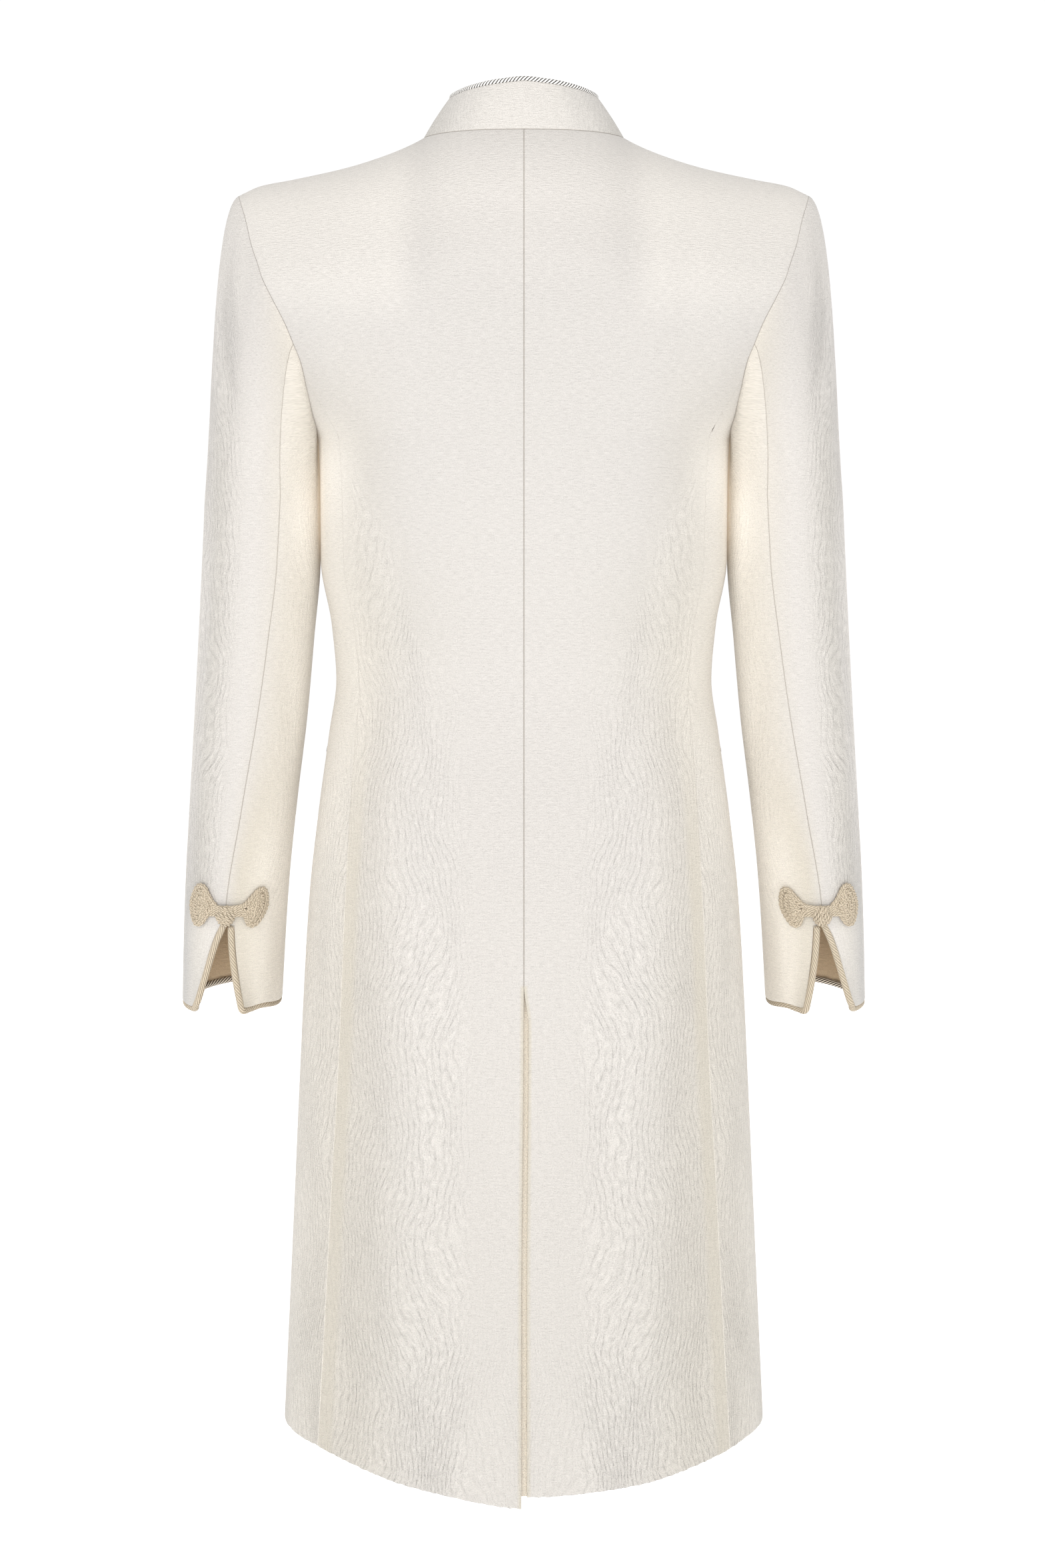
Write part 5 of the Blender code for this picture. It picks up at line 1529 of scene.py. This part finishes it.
def knot_turns():
    """Cords that run from lobe to lobe over the slit's top, and two woven layers that wrap them."""
    paths = []
    turn = np.linspace(-1, 1, 24)
    for rise in (-0.0034, -0.0012, 0.0010, 0.0032, 0.0052):
        level = KNOT.level + 0.0016 + rise * (1 - 0.30 * (1 - turn ** 2))
        paths.append(over_sleeve(KNOT.angle + 20.5 * turn, level, CORD_RADIUS + 0.0020 * (1 - turn ** 2)))
    degree = degree_width(KNOT.level)
    for lean, base in ((0.62, 0.0016), (-0.62, 0.0028)):
        for shift in np.arange(-2.5, 2.6) * KNOT_CORD_SPACING:
            reach = math.sqrt(max(1 - (shift / 0.0076) ** 2, 0.06)) * KNOT.half_height
            down = reach * turn
            across = shift * math.cos(lean) + down * math.sin(lean)
            level = KNOT.level - 0.0016 + down * math.cos(lean) - shift * math.sin(lean)
            bulge = 0.0026 * np.clip(1 - (across ** 2 + (level - KNOT.level) ** 2) / 0.0085 ** 2, 0, 1)
            weave = 0.0007 * np.sin(math.pi * down / KNOT_CORD_SPACING / 2 + (shift > 0) * math.pi)
            paths.append(over_sleeve(KNOT.angle + across / degree, level, base + bulge + weave))
    return paths


def build_frogs():
    cord = dict(strands=3, lead=CORD_LEAD, cells=9, step=0.0006, depth=0.20)
    for hand, flip in HANDS:
        for lobe in LOBES:
            add_rope(lobe.name + "_" + hand, lobe_plaits(lobe), ROPE, "rope", flip,
                     radius=CORD_RADIUS, **cord)
        add_rope("frog_knot_" + hand, knot_turns(), ROPE, "rope", flip, radius=CORD_RADIUS * 1.08, **cord)


# Pockets

POCKET_BACK_ANGLE = -15.0
POCKET_FRONT_ANGLE = -62.0
POCKET_Z = -0.4575
POCKET_HALF_MOUTH = 0.0036
POCKET_TURN_REACH = 1.4
POCKET_ROPE_RADIUS = 0.0021
POCKET_LIFT = 0.0034


def front_point(angle, z, lift):
    def place(at):
        x = float(body_x(at, z))
        return np.array([x, float(body_y(x, z, -1)), z])
    point, along = place(angle), place(angle + 1.0) - place(angle - 1.0)
    normal = unit(np.array([along[1], -along[0], 0.0]))
    return point + normal * lift * (1 if normal @ point > 0 else -1)


def build_pockets():
    along = np.linspace(POCKET_FRONT_ANGLE, POCKET_BACK_ANGLE, 14)
    places = [(angle, POCKET_HALF_MOUTH) for angle in along]
    turn_angle = math.degrees(POCKET_HALF_MOUTH / float(half_width(POCKET_Z))) * POCKET_TURN_REACH
    for turn in np.linspace(0, math.pi, 8)[1:-1]:
        places.append((POCKET_BACK_ANGLE + turn_angle * math.sin(turn), POCKET_HALF_MOUTH * math.cos(turn)))
    places += [(angle, -POCKET_HALF_MOUTH) for angle in along[::-1]]
    route = [front_point(-angle, POCKET_Z + rise, POCKET_LIFT) for angle, rise in places]
    for hand, flip in HANDS:
        add_rope("pocket_rope_" + hand, [route], COLLAR_ROPE, "rope", flip, radius=POCKET_ROPE_RADIUS,
                 strands=4, lead=COLLAR_ROPE_LEAD, cells=20, step=0.0007, depth=0.20)


# Stage


def add_area_light(name, place, aim, size, power, colour):
    data = bpy.data.lights.new(name, "AREA")
    data.shape = "RECTANGLE"
    data.size, data.size_y = size
    data.energy = power
    data.color = colour
    light = bpy.data.objects.new(name, data)
    light.location = place
    direction = np.array(aim) - np.array(place)
    light.rotation_euler = Vector(direction).to_track_quat("-Z", "Y").to_euler()
    bpy.context.scene.collection.objects.link(light)


def add_stage_plane(name, corners, colour, roughness, specular, glow):
    mesh = bpy.data.meshes.new(name)
    mesh.from_pydata(corners, [], [(0, 1, 2, 3)])
    plane = bpy.data.objects.new(name, mesh)
    bpy.context.scene.collection.objects.link(plane)
    material, _, shader = new_material("pale_" + name)
    shader.inputs["Base Color"].default_value = colour
    shader.inputs["Roughness"].default_value = roughness
    shader.inputs["Specular IOR Level"].default_value = specular
    shader.inputs["Emission Color"].default_value = (1.0, 1.0, 1.0, 1.0)
    shader.inputs["Emission Strength"].default_value = glow
    mesh.materials.append(material)


def build_stage():
    half = FLOOR_SIZE / 2
    floor = [(x * half, y * half, FLOOR_Z) for x, y in ((-1, -1), (1, -1), (1, 1), (-1, 1))]
    heights = ((-1, FLOOR_Z), (1, FLOOR_Z), (1, WALL_TOP_Z), (-1, WALL_TOP_Z))
    add_stage_plane("floor", floor, (0.95, 0.95, 0.95, 1.0), 0.9, 0.5, 0.45)
    wall = [(x * half, WALL_Y, z) for x, z in heights]
    add_stage_plane("backdrop", wall, (0.02, 0.02, 0.02, 1.0), 1.0, 0.0, 1.01)
    world = bpy.data.worlds.new("studio")
    bpy.context.scene.world = world
    world.use_nodes = True
    world.node_tree.nodes["Background"].inputs[0].default_value = (1.0, 1.0, 1.0, 1.0)
    world.node_tree.nodes["Background"].inputs[1].default_value = 0.60
    add_area_light("key", (1.9, 2.6, 1.1), (0, 0, -0.45), (1.0, 1.0), 34.0, (1.0, 0.99, 0.975))
    add_area_light("fill", (-2.1, 2.4, 0.7), (0, 0, -0.45), (1.4, 1.4), 22.0, (1.0, 0.99, 0.975))
    add_area_light("front", (0.0, 3.1, -0.2), (0, 0, -0.45), (1.6, 1.6), 26.0, (1.0, 0.99, 0.975))
    bpy.context.scene.view_settings.view_transform = "Standard"
    data = bpy.data.cameras.new("camera")
    data.sensor_fit = "VERTICAL"
    data.sensor_height = CAMERA_SENSOR
    data.lens = CAMERA_LENS
    data.clip_start = 0.05
    camera = bpy.data.objects.new("camera", data)
    camera.location = CAMERA_PLACE
    camera.rotation_euler = (math.radians(90.0 - CAMERA_DOWN_DEG), 0.0, math.pi)
    bpy.context.scene.collection.objects.link(camera)
    bpy.context.scene.camera = camera


build_stage()
build_backs()
build_underlap()
build_sides()
build_fronts()
sleeve_top, sleeve_under = build_sleeves()
collar = build_collar()
build_collar_rope(collar)
build_cuff_ropes(sleeve_top, sleeve_under)
build_frogs()
build_pockets()
